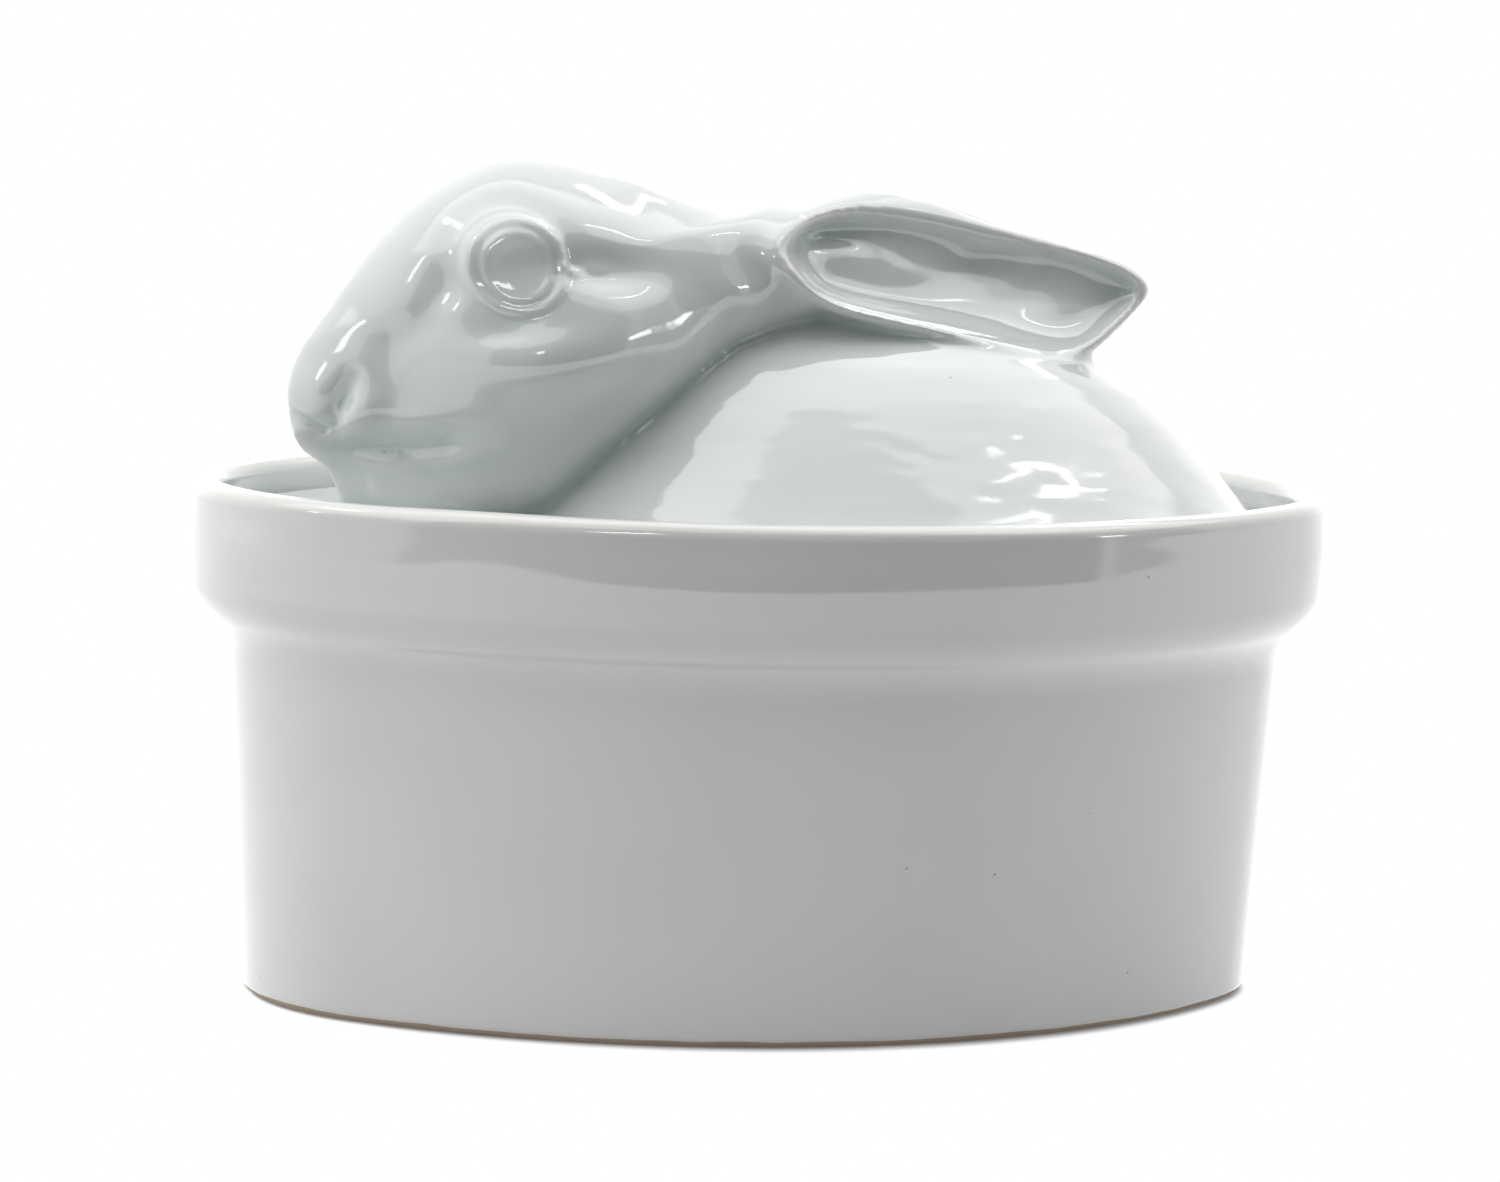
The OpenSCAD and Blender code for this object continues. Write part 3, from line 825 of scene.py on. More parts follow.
# Large odd numbers that scatter a grid point's place and the seed over 32 bits
SCATTER = np.array([374761393, 668265263, 2147483647])
SEED_SCATTER, LAST_SCATTER = 974634777, 1274126177
ALL_BITS = 0xFFFFFFFF
# Moves the waves' grid away from zero, where it would mirror
WAVE_START = 1000


def wave(points, height, cell, seed):
    """Smooth random waves up to a height, with hills about as wide as the cell."""
    q = points / np.asarray(cell, float) + WAVE_START
    base = np.floor(q).astype(np.int64)
    f = q - base
    f = f * f * f * (f * (f * 6 - 15) + 10)
    total = np.zeros(len(points))
    for corner in np.ndindex(2, 2, 2):
        mixed = ((base + corner) @ SCATTER + seed * SEED_SCATTER) & ALL_BITS
        mixed = ((mixed ^ (mixed >> 13)) * LAST_SCATTER) & ALL_BITS
        mixed = mixed ^ (mixed >> 16)
        total += corner_weight(f, corner) * (mixed / (ALL_BITS >> 1) - 1)
    return height * total


def make_object(name, points, faces):
    """A smooth object in the scene, from points in millimetres."""
    mesh = bpy.data.meshes.new(name)
    mesh.from_pydata((points * MM).tolist(), [], [list(map(int, f)) for f in faces])
    mesh.validate()
    mesh.shade_smooth()
    piece = bpy.data.objects.new(name, mesh)
    bpy.context.scene.collection.objects.link(piece)
    return piece


def fit_to_node(points, node):
    """Brings a mesh to exactly the box of the solid that it stands for."""
    low, high = (np.array(v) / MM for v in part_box(node))
    own_low, own_high = points.min(0), points.max(0)
    return low + (points - own_low) * (high - low) / (own_high - own_low)


def mesh_points(mesh):
    """The points of a mesh, in millimetres."""
    points = np.empty(len(mesh.vertices) * 3)
    mesh.vertices.foreach_get("co", points)
    return points.reshape(-1, 3) / MM


def mesh_pairs(mesh):
    """The two points of each edge of a mesh."""
    pairs = np.empty(len(mesh.edges) * 2, np.int64)
    mesh.edges.foreach_get("vertices", pairs)
    return pairs.reshape(-1, 2)


def mesh_normals(mesh):
    """Outward directions at the points of a mesh."""
    normals = np.empty(len(mesh.vertices) * 3)
    mesh.vertex_normals.foreach_get("vector", normals)
    return normals.reshape(-1, 3)


def move_points(mesh, points):
    """Puts the points of a mesh at places in millimetres."""
    mesh.vertices.foreach_set("co", (points * MM).ravel())
    mesh.update()


def thin_out(piece, share, chosen):
    """Merges faces among the chosen points until only a share of all faces is left."""
    group = piece.vertex_groups.new(name="plain")
    group.add(np.flatnonzero(chosen).tolist(), 1.0, "REPLACE")
    modifier = piece.modifiers.new("thin out", "DECIMATE")
    modifier.ratio = share
    modifier.vertex_group = group.name
    evaluated = piece.evaluated_get(bpy.context.evaluated_depsgraph_get())
    mesh = bpy.data.meshes.new_from_object(evaluated)
    piece.modifiers.clear()
    piece.vertex_groups.clear()
    old = piece.data
    piece.data = mesh
    bpy.data.meshes.remove(old)


def split_finer(mesh, chosen):
    """Splits each edge between chosen points in two."""
    work = bmesh.new()
    work.from_mesh(mesh)
    work.verts.ensure_lookup_table()
    edges = [e for e in work.edges if chosen[e.verts[0].index] and chosen[e.verts[1].index]]
    bmesh.ops.subdivide_edges(work, edges=edges, cuts=1, use_grid_fill=True)
    work.to_mesh(mesh)
    work.free()
    mesh.update()


def set_mark(mesh, key, values):
    """Keeps a value at each point, for the glaze to read."""
    attribute = mesh.attributes.new(key, "FLOAT", "POINT")
    attribute.data.foreach_set("value", np.asarray(values, np.float32))


def bends(points, normals, pairs, rounds):
    """How strongly the surface bends in at each point, below zero where it bends out."""
    size = len(points)
    count = np.maximum(np.bincount(pairs.ravel(), minlength=size), 1).astype(float)
    span = np.linalg.norm(points[pairs[:, 0]] - points[pairs[:, 1]], axis=1)
    mean_span = (np.bincount(pairs[:, 0], span, size) + np.bincount(pairs[:, 1], span, size)) / count
    drawn_in = ((neighbour_mean(points, pairs, count) - points) * normals).sum(1)
    bend = drawn_in / np.maximum(mean_span, TINY) ** 2 * 4
    for _ in range(rounds):
        bend = (bend + neighbour_mean(bend, pairs, count)) / 2
    return bend


# Glaze


def new_group(name, inputs, outputs):
    """A shader node group with named inputs and outputs."""
    group = bpy.data.node_groups.new(name, "ShaderNodeTree")
    kinds = {"colour": "NodeSocketColor", "value": "NodeSocketFloat", "place": "NodeSocketVector"}
    for key, kind in inputs:
        group.interface.new_socket(name=key, in_out="INPUT", socket_type=kinds[kind])
    for key, kind in outputs:
        group.interface.new_socket(name=key, in_out="OUTPUT", socket_type=kinds[kind])
    return group, group.nodes.new("NodeGroupInput"), group.nodes.new("NodeGroupOutput")


def set_socket(tree, socket, value):
    """Links a socket to another one, or sets its value."""
    if isinstance(value, bpy.types.NodeSocket):
        tree.links.new(value, socket)
    else:
        socket.default_value = value


def add(tree, kind, settings=None, **inputs):
    """A node with its settings, and its inputs by name, or by number as i0, i1 and so on."""
    node = tree.nodes.new(kind)
    for key, value in (settings or {}).items():
        setattr(node, key, value)
    for key, value in inputs.items():
        numbered = key[0] == "i" and key[1:].isdigit()
        set_socket(tree, node.inputs[int(key[1:]) if numbered else key.replace("_", " ")], value)
    return node


def mix_colour(tree, share, a, b):
    """The first colour, with a share of the second."""
    return add(tree, "ShaderNodeMix", {"data_type": "RGBA"}, i0=share, i6=a, i7=b).outputs[2]


def math_node(tree, operation, a, b=0.0, c=0.0, clamp=False):
    """The result of one operation on up to three values."""
    settings = {"operation": operation, "use_clamp": clamp}
    return add(tree, "ShaderNodeMath", settings, i0=a, i1=b, i2=c).outputs[0]


def dot(tree, a, b):
    """How far two directions point the same way."""
    return add(tree, "ShaderNodeVectorMath", {"operation": "DOT_PRODUCT"}, i0=a, i1=b).outputs["Value"]


def ramp(tree, value, start, end, low, high, kind="SMOOTHSTEP"):
    """A value that goes from low to high while another goes from a start to an end."""
    limits = {"From_Min": start, "From_Max": end, "To_Min": low, "To_Max": high}
    return add(tree, "ShaderNodeMapRange", {"interpolation_type": kind}, Value=value, **limits).outputs[0]


def noise(tree, place, scale, detail, rough=0.5):
    """A cloudy pattern with about so many patches to a metre."""
    return add(tree, "ShaderNodeTexNoise", Vector=place, Scale=scale, Detail=detail, Roughness=rough).outputs[0]


def rgba(colour):
    """A colour with full cover."""
    return (*colour, 1.0)


# Patterns in the glaze: patches to a metre, detail, roughness
BROAD, PEEL, FINE = (26.0, 2.0, 0.5), (150.0, 1.0, 0.4), (900.0, 3.0, 0.6)
# Where the broad pattern is over the first, the glaze is thicker by the second
CLOUD_FROM, CLOUD = 0.42, 0.9
# What the broad pattern adds to the roughness, and the shares of the other two in the height
ROUGH_MORE, PEEL_SHARE, FINE_SHARE = 0.03, 0.75, 0.25
# Specks: cells to a metre, where in its cell a speck is full and where it ends, strength, colour
SPECK_CELLS, SPECK_ENDS, SPECK_STRENGTH, SPECK = 80.0, (0.012, 0.024), 0.7, (0.3, 0.24, 0.18, 1.0)
# The wiped line at the foot: its pattern, and how far it wanders in metres
WIPED, WIPED_SPAN = (120.0, 2.0), 0.0006
# Bare clay: its pattern, the share of its colour in the dark grains, its roughness
GRIT, GRIT_DARK, CLAY_ROUGHNESS = (1400.0, 4.0), 0.8, 0.85
# Strength and height in metres of the glaze's unevenness, and how much it bends light
BUMP, BUMP_HEIGHT, GLAZE_IOR = 0.05, 0.0005, 1.58


def glaze_group():
    """Colour, roughness and height of a poured glaze, from its hollows and edges."""
    inputs = [(key, "colour") for key in ("Glaze", "Pooled", "Thin")]
    inputs += [(key, "value") for key in ("Hollow", "Edge", "Roughness")] + [("Place", "place")]
    outputs = [("Colour", "colour"), ("Roughness", "value"), ("Height", "value")]
    group, given, result = new_group("Poured glaze", inputs, outputs)
    place = given.outputs["Place"]
    broad, peel, fine = (noise(group, place, *form) for form in (BROAD, PEEL, FINE))
    cloud = math_node(group, "SUBTRACT", broad, CLOUD_FROM, clamp=True)
    cloud = math_node(group, "MULTIPLY", cloud, CLOUD, clamp=True)
    colour = mix_colour(group, cloud, given.outputs["Glaze"], given.outputs["Pooled"])
    colour = mix_colour(group, given.outputs["Hollow"], colour, given.outputs["Pooled"])
    colour = mix_colour(group, given.outputs["Edge"], colour, given.outputs["Thin"])
    cells = add(group, "ShaderNodeTexVoronoi", Vector=place, Scale=SPECK_CELLS).outputs["Distance"]
    specks = ramp(group, cells, *SPECK_ENDS, SPECK_STRENGTH, 0.0, "LINEAR")
    colour = mix_colour(group, specks, colour, SPECK)
    rough = math_node(group, "MULTIPLY_ADD", broad, ROUGH_MORE, given.outputs["Roughness"])
    height = math_node(group, "MULTIPLY", fine, FINE_SHARE)
    height = math_node(group, "MULTIPLY_ADD", peel, PEEL_SHARE, height)
    group.links.new(colour, result.inputs["Colour"])
    group.links.new(rough, result.inputs["Roughness"])
    group.links.new(height, result.inputs["Height"])
    return group


def porcelain(name, group, glaze, bare_foot=0.0):
    """Glazed porcelain, with a bare foot where one is asked for."""
    material = bpy.data.materials.new(name)
    material.use_nodes = True
    tree = material.node_tree
    shader = tree.nodes["Principled BSDF"]
    place = add(tree, "ShaderNodeTexCoord").outputs["Object"]
    hollow = add(tree, "ShaderNodeAttribute", {"attribute_name": "hollow"}).outputs["Fac"]
    edge = add(tree, "ShaderNodeAttribute", {"attribute_name": "edge"}).outputs["Fac"]
    coat = add(tree, "ShaderNodeGroup", {"node_tree": group})
    main_colour = glaze.dish_glaze if bare_foot else glaze.glaze
    for key, value in (("Glaze", main_colour), ("Pooled", glaze.pooled), ("Thin", glaze.thin)):
        coat.inputs[key].default_value = rgba(value)
    coat.inputs["Roughness"].default_value = glaze.gloss
    for key, source in (("Hollow", hollow), ("Edge", edge), ("Place", place)):
        tree.links.new(source, coat.inputs[key])
    colour, rough, height = (coat.outputs[key] for key in ("Colour", "Roughness", "Height"))
    if bare_foot:
        level = add(tree, "ShaderNodeSeparateXYZ", Vector=place).outputs["Z"]
        wander = noise(tree, place, *WIPED)
        line = math_node(tree, "MULTIPLY_ADD", wander, WIPED_SPAN, bare_foot - WIPED_SPAN / 2)
        bare = math_node(tree, "LESS_THAN", level, line)
        dark_clay = [c * GRIT_DARK for c in glaze.clay]
        clay = mix_colour(tree, noise(tree, place, *GRIT), rgba(dark_clay), rgba(glaze.clay))
        colour = mix_colour(tree, bare, colour, clay)
        rough = math_node(tree, "MAXIMUM", rough, math_node(tree, "MULTIPLY", bare, CLAY_ROUGHNESS))
    bump = add(tree, "ShaderNodeBump", Height=height, Strength=BUMP, Distance=BUMP_HEIGHT)
    tree.links.new(colour, shader.inputs["Base Color"])
    tree.links.new(rough, shader.inputs["Roughness"])
    tree.links.new(bump.outputs[0], shader.inputs["Normal"])
    shader.inputs["IOR"].default_value = GLAZE_IOR
    return material


class TUREEN_OT_dish(bpy.types.Operator):
    """Build the oval dish and glaze it"""

    bl_idname = "tureen.dish"
    bl_label = "Dish"

    def execute(self, context):
        section = dish_section()
        points = sweep_oval(section, DISH_ROUND).reshape(-1, 3)
        faces = tube_faces(len(section), DISH_ROUND)
        ring = np.arange(DISH_ROUND)
        caps = [list(ring[::-1]), list((len(section) - 1) * DISH_ROUND + ring)]
        belly = np.sin(np.pi * np.clip((points[:, 2] - SHOULDER) / BAND, 0, 1)) ** 2
        points[:, :2] *= (1 - BAND_SWELL * (1 - belly))[:, None]
        uneven = wave(points, *WALL_WAVE) * part_way(points[:, 2], 0, 20)
        uneven += wave(points, *BAND_WAVE) * part_way(points[:, 2], SHOULDER + 0.6, SHOULDER + 4.6)
        points = points - point_normals(points, faces) * uneven[:, None]
        piece = make_object("glazed_dish", fit_to_node(points, "dish"), list(faces) + caps)
        thin = THIN_SHARE * np.clip(1 - np.abs(section[:, 1] - (RIM_TOP - THIN_LIP)) / THIN_LIP, 0, 1)
        set_mark(piece.data, "edge", np.repeat(thin, DISH_ROUND))
        piece.data.materials.append(materials()["dish"])
        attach(piece, "root")
        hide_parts("dish")
        return {"FINISHED"}


# Joints against the one of ears and head: how much wider at the ears' root, and those of body and flange
ROOT_JOINT, BODY_JOINT, FLANGE_JOINT = 1.6, 0.7, 0.8
# The rabbit ends so high over the flange's underside, and its hollow starts so far under the flange's top
RABBIT_START, HOLLOW_START = 1.1, -8
HOLLOW_EDGE = 1.2
# The share of the triangles of the hollow and the underside that goes
THINNED = 0.93
# The mesh is finer so near the eye, and on the muzzle: so far behind the nose, and from and to a height
FINE_EYE, FINE_MUZZLE = 9, (28, 7, 25)
# Marks for the glaze: how strong a bend counts in full, and the most that it counts
HOLLOW_BEND, HOLLOW_MOST = 0.5, 0.8
EDGE_BEND, EDGE_FROM, EDGE_MOST = 0.8, 0.3, 0.6


def cover_forms(block, joint):
    """The head, the ears, the body, the hollow and the whole cover, as distances in the block."""
    meshes = {"head": head_mesh(), "ears": ears_mesh(), "body": body_mesh()}
    forms = {key: block.field(mesh) for key, mesh in meshes.items()}
    root = 1 - part_way(block.along(), *EAR_ROOT)
    rabbit = melt(forms["head"], forms["ears"], joint * (1 + ROOT_JOINT * root))
    rabbit = melt(rabbit, forms["body"], joint * BODY_JOINT)
    rabbit = np.maximum(rabbit, LEDGE_Z + RABBIT_START - block.heights())
    solid = melt(rabbit, block.field(flange_mesh()), joint * FLANGE_JOINT)
    inner_body = block.field(body_mesh(COVER_WALL, HOLLOW_START))
    forms["hollow"] = melt(block.field(head_mesh(COVER_WALL)), inner_body, joint)
    forms["whole"] = soften(carve(solid, forms["hollow"], HOLLOW_EDGE), 1)
    return forms


def cover_skin(block, forms):
    """The cover's surface as an object, with fewer points where nobody looks."""
    points, quads = block.skin(forms["whole"])
    points = even_out(points, edge_pairs(quads), 4)
    crown = points[:, 2] > FLANGE_Z + 47.5
    if point_normals(points, quads)[crown, 2].sum() < 0:
        quads = quads[:, ::-1]
    piece = make_object("glazed_cover", points, quads)
    under = (np.abs(block.sample(forms["hollow"], points)) < HOLLOW_EDGE) | (points[:, 2] < LEDGE_Z + 0.6)
    thin_out(piece, 1 - THINNED * under.mean(), under)
    return piece


def drawn_places(points):
    """Where points of the cover lie in the drawing from the side."""
    return np.stack([points[:, 0] - NOSE_X, points[:, 2] - FLANGE_Z], 1)


def refine_face(mesh, block, forms):
    """Gives the eyes and the muzzle a finer mesh."""
    points = mesh_points(mesh)
    drawn = drawn_places(points)
    behind, low, high = FINE_MUZZLE
    near_eye = np.linalg.norm(drawn - EYE, axis=1) < FINE_EYE
    muzzle = (drawn[:, 0] < behind) & (drawn[:, 1] > low) & (drawn[:, 1] < high)
    outside = np.abs(block.sample(forms["hollow"], points)) > COVER_WALL / 2
    split_finer(mesh, (near_eye | muzzle) & outside)
    move_points(mesh, even_out(mesh_points(mesh), mesh_pairs(mesh), 3))


def carve_cover(mesh, block, forms, ripple_height):
    """Cuts the face, the folds in the ears and the ripples of the back, and marks hollows and edges."""
    points, normals, pairs = mesh_points(mesh), mesh_normals(mesh), mesh_pairs(mesh)
    drawn = drawn_places(points)

    def on_form(key, near, far):
        return outside * (1 - part_way(np.abs(block.sample(forms[key], points)), near, far))

    outside = part_way(block.sample(forms["hollow"], points), 1.5, 3.0)
    sideways = np.abs(normals[:, 1])
    carving = on_form("head", 1.0, 2.0) * face_detail(drawn) * np.clip(sideways * 1.4, 0.25, 1)
    carving += on_form("ears", 0.6, 1.4) * part_way(sideways, 0.15, 0.5) * ear_detail(drawn)
    ripples = ripple_height * sum(wave(points, *form) for form in BACK_RIPPLES)
    carving += ripples * (0.25 * outside + on_form("body", 0.8, 2.0))
    points = fit_to_node(points + normals * carving[:, None], "cover")
    move_points(mesh, points)
    bend = bends(points, mesh_normals(mesh), pairs, 4)
    set_mark(mesh, "hollow", HOLLOW_MOST * np.clip(bend / HOLLOW_BEND, 0, 1))
    set_mark(mesh, "edge", EDGE_MOST * np.clip(-bend / EDGE_BEND - EDGE_FROM, 0, 1))
    mesh.shade_smooth()


class TUREEN_OT_cover(bpy.types.Operator):
    """Model the cover with its rabbit and glaze it"""

    bl_idname = "tureen.cover"
    bl_label = "Rabbit cover"

    def execute(self, context):
        sizes = context.scene.tureen_sizes
        low, high = (np.array(v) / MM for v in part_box("cover"))
        block = Block(low, high, sizes.grain / MM)
        forms = cover_forms(block, sizes.joint_round / MM)
        piece = cover_skin(block, forms)
        refine_face(piece.data, block, forms)
        carve_cover(piece.data, block, forms, sizes.coat_ripple / MM)
        piece.data.materials.append(materials()["cover"])
        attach(piece, "root")
        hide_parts("cover")
        return {"FINISHED"}


def materials():
    """The two glazes, made once."""
    glaze = bpy.context.scene.tureen_glaze
    if "cover glaze" not in bpy.data.materials:
        group = glaze_group()
        porcelain("cover glaze", group, glaze)
        porcelain("dish glaze", group, glaze, bpy.context.scene.tureen_sizes.bare_foot)
    return {"cover": bpy.data.materials["cover glaze"], "dish": bpy.data.materials["dish glaze"]}


# Studio

# The camera's turn round the object, tilt and roll in degrees, its distance and what it looks at in metres
CAMERA_TURNS, CAMERA_DISTANCE, CAMERA_AIM = (16.64, 6.45, 2.04), 0.95, Vector((0, 0, 0.075))
# In pixels: the photograph, the focal length, and the place of what the camera looks at
IMAGE_SIZE, FOCAL_LENGTH, AIM_PIXEL = (1500, 1182), 5827.0, (766.0, 529.0)
SENSOR_WIDTH = 36


def make_camera():
    """The photograph's view: a long lens a little above the level."""
    yaw, tilt, roll = (math.radians(a) for a in CAMERA_TURNS)
    forward = Vector((math.sin(yaw) * math.cos(tilt), math.cos(yaw) * math.cos(tilt), -math.sin(tilt)))
    right = Vector((math.cos(yaw), -math.sin(yaw), 0))
    up = right.cross(forward)
    turned_right = right * math.cos(roll) + up * math.sin(roll)
    turned_up = up * math.cos(roll) - right * math.sin(roll)
    data = bpy.data.cameras.new("camera")
    wide, high = IMAGE_SIZE
    data.sensor_width = SENSOR_WIDTH
    data.lens = FOCAL_LENGTH / wide * SENSOR_WIDTH
    data.shift_x = (wide / 2 - AIM_PIXEL[0]) / wide
    data.shift_y = (AIM_PIXEL[1] - high / 2) / wide
    data.clip_end = 50
    camera = bpy.data.objects.new("camera", data)
    axes = Matrix((turned_right, turned_up, -forward)).transposed().to_4x4()
    camera.matrix_world = Matrix.Translation(CAMERA_AIM - forward * CAMERA_DISTANCE) @ axes
    bpy.context.scene.collection.objects.link(camera)
    bpy.context.scene.camera = camera


def toward(azimuth, elevation):
    """A direction from an azimuth, measured from the front, and an elevation."""
    a, e = math.radians(azimuth), math.radians(elevation)
    return Vector((math.sin(a) * math.cos(e), -math.cos(a) * math.cos(e), math.sin(e)))


# Wide soft lights: azimuth from the front, elevation, sharpness, strength
SOFT_LIGHTS = [
    (-90, 55, 8, 1.7),
    (-90, 15, 9, 1.75),
    (60, 86, 9, 2.1),
    (90, 15, 9, 2.0),
    (180, 55, 8, 1.0),
]
# Bright panels that only the glaze mirrors: azimuth from the front, elevation, roll, half sizes, glow
MIRRORED = [
    (0, 88, 0, 58, 31, 1.9),
    (-106, 56, 20, 4, 2, 10),
    (-84, 29, 0, 3, 4, 8),
    (-24, 33, 30, 6, 3, 11),
    (59, 13, 0, 3, 3, 12),
    (134, 47, 0, 8, 1.3, 12),
    (150, 31, 0, 8, 4, 5),
    (84, 54, -52, 11, 0.65, 12),
    (70, 8, 0, 12, 40, -0.8),
]
# A panel fades from this share of its half size on
PANEL_FADE = 0.85
# The dark room that the glaze mirrors in front: its direction, the cosines at its edge, its glow
ROOM_FRONT, ROOM_EDGE, ROOM_GLOW = (-0.0436, -0.999, 0), (0.5, 0.545), 0.05
# The pale paper that it mirrors elsewhere: from and to how far back it grows brighter, and its glow there
PAPER_DEPTHS, PAPER_GLOW = (-0.15, 0.5), (1.4, 2.1)
WHITE = (1, 1, 1, 1)


def panel_mask(tree, direction, azimuth, elevation, roll, wide, high):
    """Where a direction meets a panel: 1 on it and 0 off it."""
    away = toward(azimuth, elevation)
    side = toward(azimuth + 90, 0)
    up = away.cross(side)
    c, s = math.cos(math.radians(roll)), math.sin(math.radians(roll))
    side, up = side * c + up * s, up * c - side * s
    ahead, across, upward = (dot(tree, direction, axis) for axis in (away, side, up))
    mask = math_node(tree, "GREATER_THAN", ahead, 0.0)
    for part, half in ((across, wide), (upward, high)):
        slope = math_node(tree, "ABSOLUTE", math_node(tree, "DIVIDE", part, ahead))
        limit = math.tan(math.radians(half))
        mask = math_node(tree, "MULTIPLY", mask, ramp(tree, slope, limit * PANEL_FADE, limit, 1.0, 0.0))
    return mask


def make_world(studio):
    """Soft lights at the sides and behind, which the glaze mirrors as pale paper, and a dark room in front."""
    world = bpy.data.worlds.new("studio")
    bpy.context.scene.world = world
    world.use_nodes = True
    tree = world.node_tree
    tree.nodes.clear()
    rays = add(tree, "ShaderNodeLightPath").outputs
    seen = math_node(tree, "MAXIMUM", rays["Is Camera Ray"], rays["Is Transmission Ray"])
    direction = add(tree, "ShaderNodeTexCoord").outputs["Generated"]
    light = 0.0
    for azimuth, elevation, sharpness, strength in SOFT_LIGHTS:
        lobe = math_node(tree, "MAXIMUM", dot(tree, direction, toward(azimuth, elevation)), 0.0)
        lobe = math_node(tree, "POWER", lobe, sharpness)
        light = math_node(tree, "MULTIPLY_ADD", lobe, strength * studio.soft_light, light)
    soft = add(tree, "ShaderNodeBackground", Color=WHITE, Strength=light)
    level = add(tree, "ShaderNodeVectorMath", {"operation": "MULTIPLY"}, i0=direction, i1=(1, 1, 0)).outputs[0]
    level = add(tree, "ShaderNodeVectorMath", {"operation": "NORMALIZE"}, i0=level).outputs[0]
    sides = ramp(tree, dot(tree, level, ROOM_FRONT), *ROOM_EDGE, 1.0, 0.0)
    depth = add(tree, "ShaderNodeSeparateXYZ", Vector=direction).outputs["Y"]
    mirror = math_node(tree, "MULTIPLY_ADD", sides, ramp(tree, depth, *PAPER_DEPTHS, *PAPER_GLOW), ROOM_GLOW)
    for azimuth, elevation, roll, wide, high, glow in MIRRORED:
        mask = panel_mask(tree, direction, azimuth, elevation, roll, wide, high)
        mirror = math_node(tree, "MULTIPLY_ADD", mask, glow, mirror)
    mirror = math_node(tree, "MAXIMUM", math_node(tree, "MULTIPLY", mirror, studio.mirrored), 0.0)
    mirrored = add(tree, "ShaderNodeBackground", Color=WHITE, Strength=mirror)
    white = add(tree, "ShaderNodeBackground", Color=WHITE, Strength=1.0)
    soft, mirrored, white = (node.outputs[0] for node in (soft, mirrored, white))
    gloss = add(tree, "ShaderNodeMixShader", i0=rays["Is Glossy Ray"], i1=soft, i2=mirrored).outputs[0]
    last = add(tree, "ShaderNodeMixShader", i0=seen, i1=gloss, i2=white)
    out = tree.nodes.new("ShaderNodeOutputWorld")
    tree.links.new(last.outputs[0], out.inputs[0])


# Radii of the foot's arcs
FOOT_END, FOOT_SIDE = END_RADIUS - FOOT_IN, SIDE_RADIUS - FOOT_IN
# The floor's limits to both sides, in front and behind, in metres
FLOOR_SIDE, FLOOR_FRONT, FLOOR_BACK = 2.5, -0.5, 3
# Width of the shadow beside the foot, its growth with the distance from the middle line, where it fades
SHADOW_WIDTH, SHADOW_GROWTH, SHADOW_FADE = 0.0012, 0.07, 0.3
# Colour of the paper, what the camera sees it glow by itself, and how bright the glaze mirrors it
PAPER, PAPER_LIFT, PAPER_MIRRORED = (0.6, 0.6, 0.6, 1), 0.15, 1.3


def plane_length(tree, x, y):
    """Length of a line with these two measures on the floor."""
    flat = add(tree, "ShaderNodeCombineXYZ", X=x, Y=y).outputs[0]
    return add(tree, "ShaderNodeVectorMath", {"operation": "LENGTH"}, i0=flat).outputs["Value"]


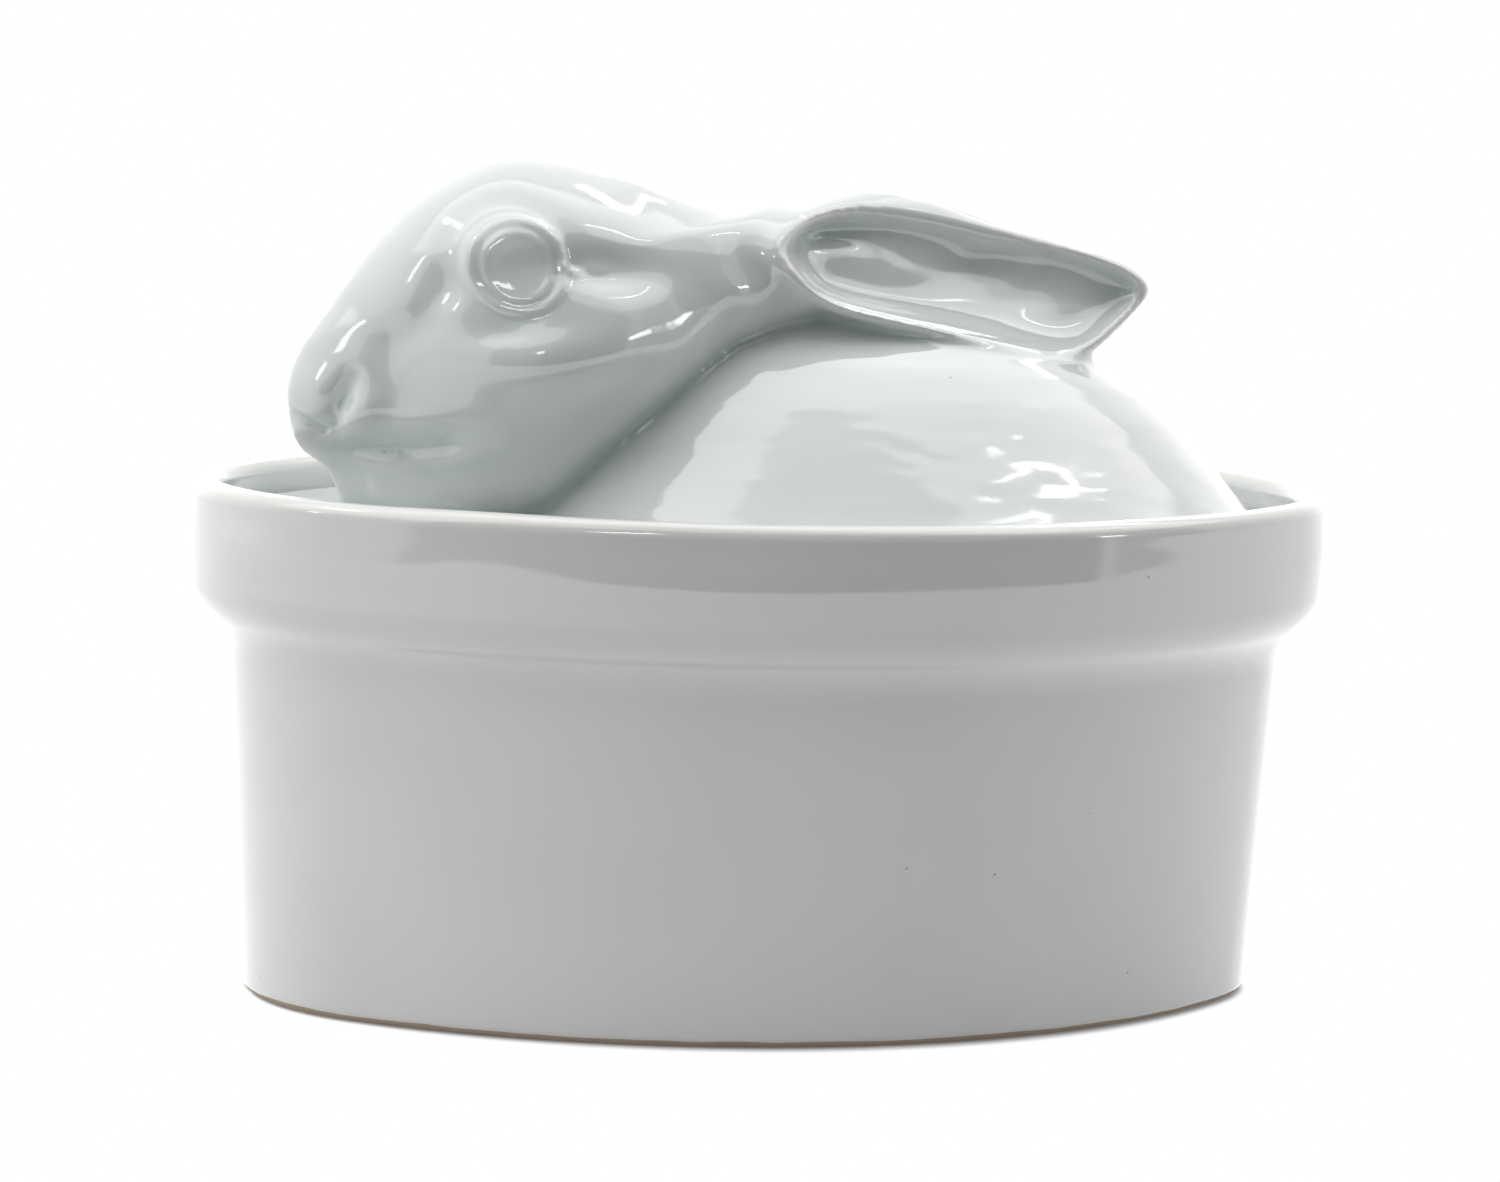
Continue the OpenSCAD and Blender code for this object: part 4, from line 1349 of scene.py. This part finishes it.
def make_floor():
    """A sheet of pale paper that keeps the shadow and fades to plain white away from the dish."""
    turns = [(-1, FLOOR_FRONT), (1, FLOOR_FRONT), (1, FLOOR_BACK), (-1, FLOOR_BACK)]
    corners = np.array([(side * FLOOR_SIDE, y, 0) for side, y in turns]) / MM
    floor = make_object("floor", corners, [[0, 1, 2, 3]])
    material = bpy.data.materials.new("pale paper")
    material.use_nodes = True
    tree = material.node_tree
    tree.nodes.clear()
    rays = add(tree, "ShaderNodeLightPath").outputs
    place = add(tree, "ShaderNodeTexCoord").outputs["Object"]
    parts = add(tree, "ShaderNodeSeparateXYZ", Vector=place).outputs
    x, y = (math_node(tree, "ABSOLUTE", parts[axis]) for axis in "XY")
    end_x = math_node(tree, "SUBTRACT", x, END_CENTRE * MM)
    past_end = math_node(tree, "SUBTRACT", plane_length(tree, end_x, y), FOOT_END * MM)
    side_y = math_node(tree, "ADD", y, SIDE_CENTRE * MM)
    past_side = math_node(tree, "SUBTRACT", plane_length(tree, x, side_y), FOOT_SIDE * MM)
    at_end = math_node(tree, "GREATER_THAN", math_node(tree, "MULTIPLY", end_x, TRIANGLE[1] / TRIANGLE[0]), y)
    away = add(tree, "ShaderNodeMix", i0=at_end, i2=past_side, i3=past_end).outputs[0]
    width = math_node(tree, "MULTIPLY_ADD", y, SHADOW_GROWTH, SHADOW_WIDTH)
    share = math_node(tree, "DIVIDE", away, width)
    fade = ramp(tree, share, SHADOW_FADE, 1.0, 0.0, 1.0)
    plain = math_node(tree, "MULTIPLY", fade, rays["Is Camera Ray"])
    matt = add(tree, "ShaderNodeBsdfDiffuse", Color=PAPER)
    lift = math_node(tree, "MULTIPLY", rays["Is Camera Ray"], PAPER_LIFT)
    glow = add(tree, "ShaderNodeMix", i0=rays["Is Glossy Ray"], i2=lift, i3=PAPER_MIRRORED).outputs[0]
    lift = add(tree, "ShaderNodeEmission", Color=WHITE, Strength=glow)
    near = add(tree, "ShaderNodeAddShader", i0=matt.outputs[0], i1=lift.outputs[0])
    white = add(tree, "ShaderNodeEmission", Color=WHITE, Strength=1.0)
    both = add(tree, "ShaderNodeMixShader", i0=plain, i1=near.outputs[0], i2=white.outputs[0])
    out = tree.nodes.new("ShaderNodeOutputMaterial")
    tree.links.new(both.outputs[0], out.inputs[0])
    floor.data.materials.append(material)


class TUREEN_OT_studio(bpy.types.Operator):
    """Set up the camera, the pale floor and the soft lights"""

    bl_idname = "tureen.studio"
    bl_label = "Studio"

    def execute(self, context):
        studio = context.scene.tureen_studio
        make_camera()
        make_world(studio)
        make_floor()
        context.scene.view_settings.view_transform = "Standard"
        return {"FINISHED"}


class TUREEN_PT_panel(bpy.types.Panel):
    """Lists the pieces and the studio"""

    bl_idname = "TUREEN_PT_panel"
    bl_label = "Rabbit tureen"
    bl_space_type = "VIEW_3D"
    bl_region_type = "UI"
    bl_category = "Tureen"

    def draw(self, context):
        column = self.layout.column()
        for group in (context.scene.tureen_sizes, context.scene.tureen_glaze, context.scene.tureen_studio):
            for key in group.__annotations__:
                column.prop(group, key)
        for operator in OPERATORS:
            column.operator(operator.bl_idname)


OPERATORS = (TUREEN_OT_studio, TUREEN_OT_dish, TUREEN_OT_cover)
GROUPS = {"tureen_sizes": TureenSizes, "tureen_glaze": TureenGlaze, "tureen_studio": TureenStudio}


def register():
    """Adds the classes and the settings of a scene."""
    for cls in (*GROUPS.values(), *OPERATORS, TUREEN_PT_panel):
        bpy.utils.register_class(cls)
    for key, cls in GROUPS.items():
        setattr(bpy.types.Scene, key, PointerProperty(type=cls))


def unregister():
    """Takes them away again."""
    for key in GROUPS:
        delattr(bpy.types.Scene, key)
    for cls in (TUREEN_PT_panel, *reversed(OPERATORS), *reversed(GROUPS.values())):
        bpy.utils.unregister_class(cls)


def main():
    """Builds everything."""
    register()
    bpy.ops.tureen.studio()
    bpy.ops.tureen.dish()
    bpy.ops.tureen.cover()


if __name__ == "__main__":
    main()
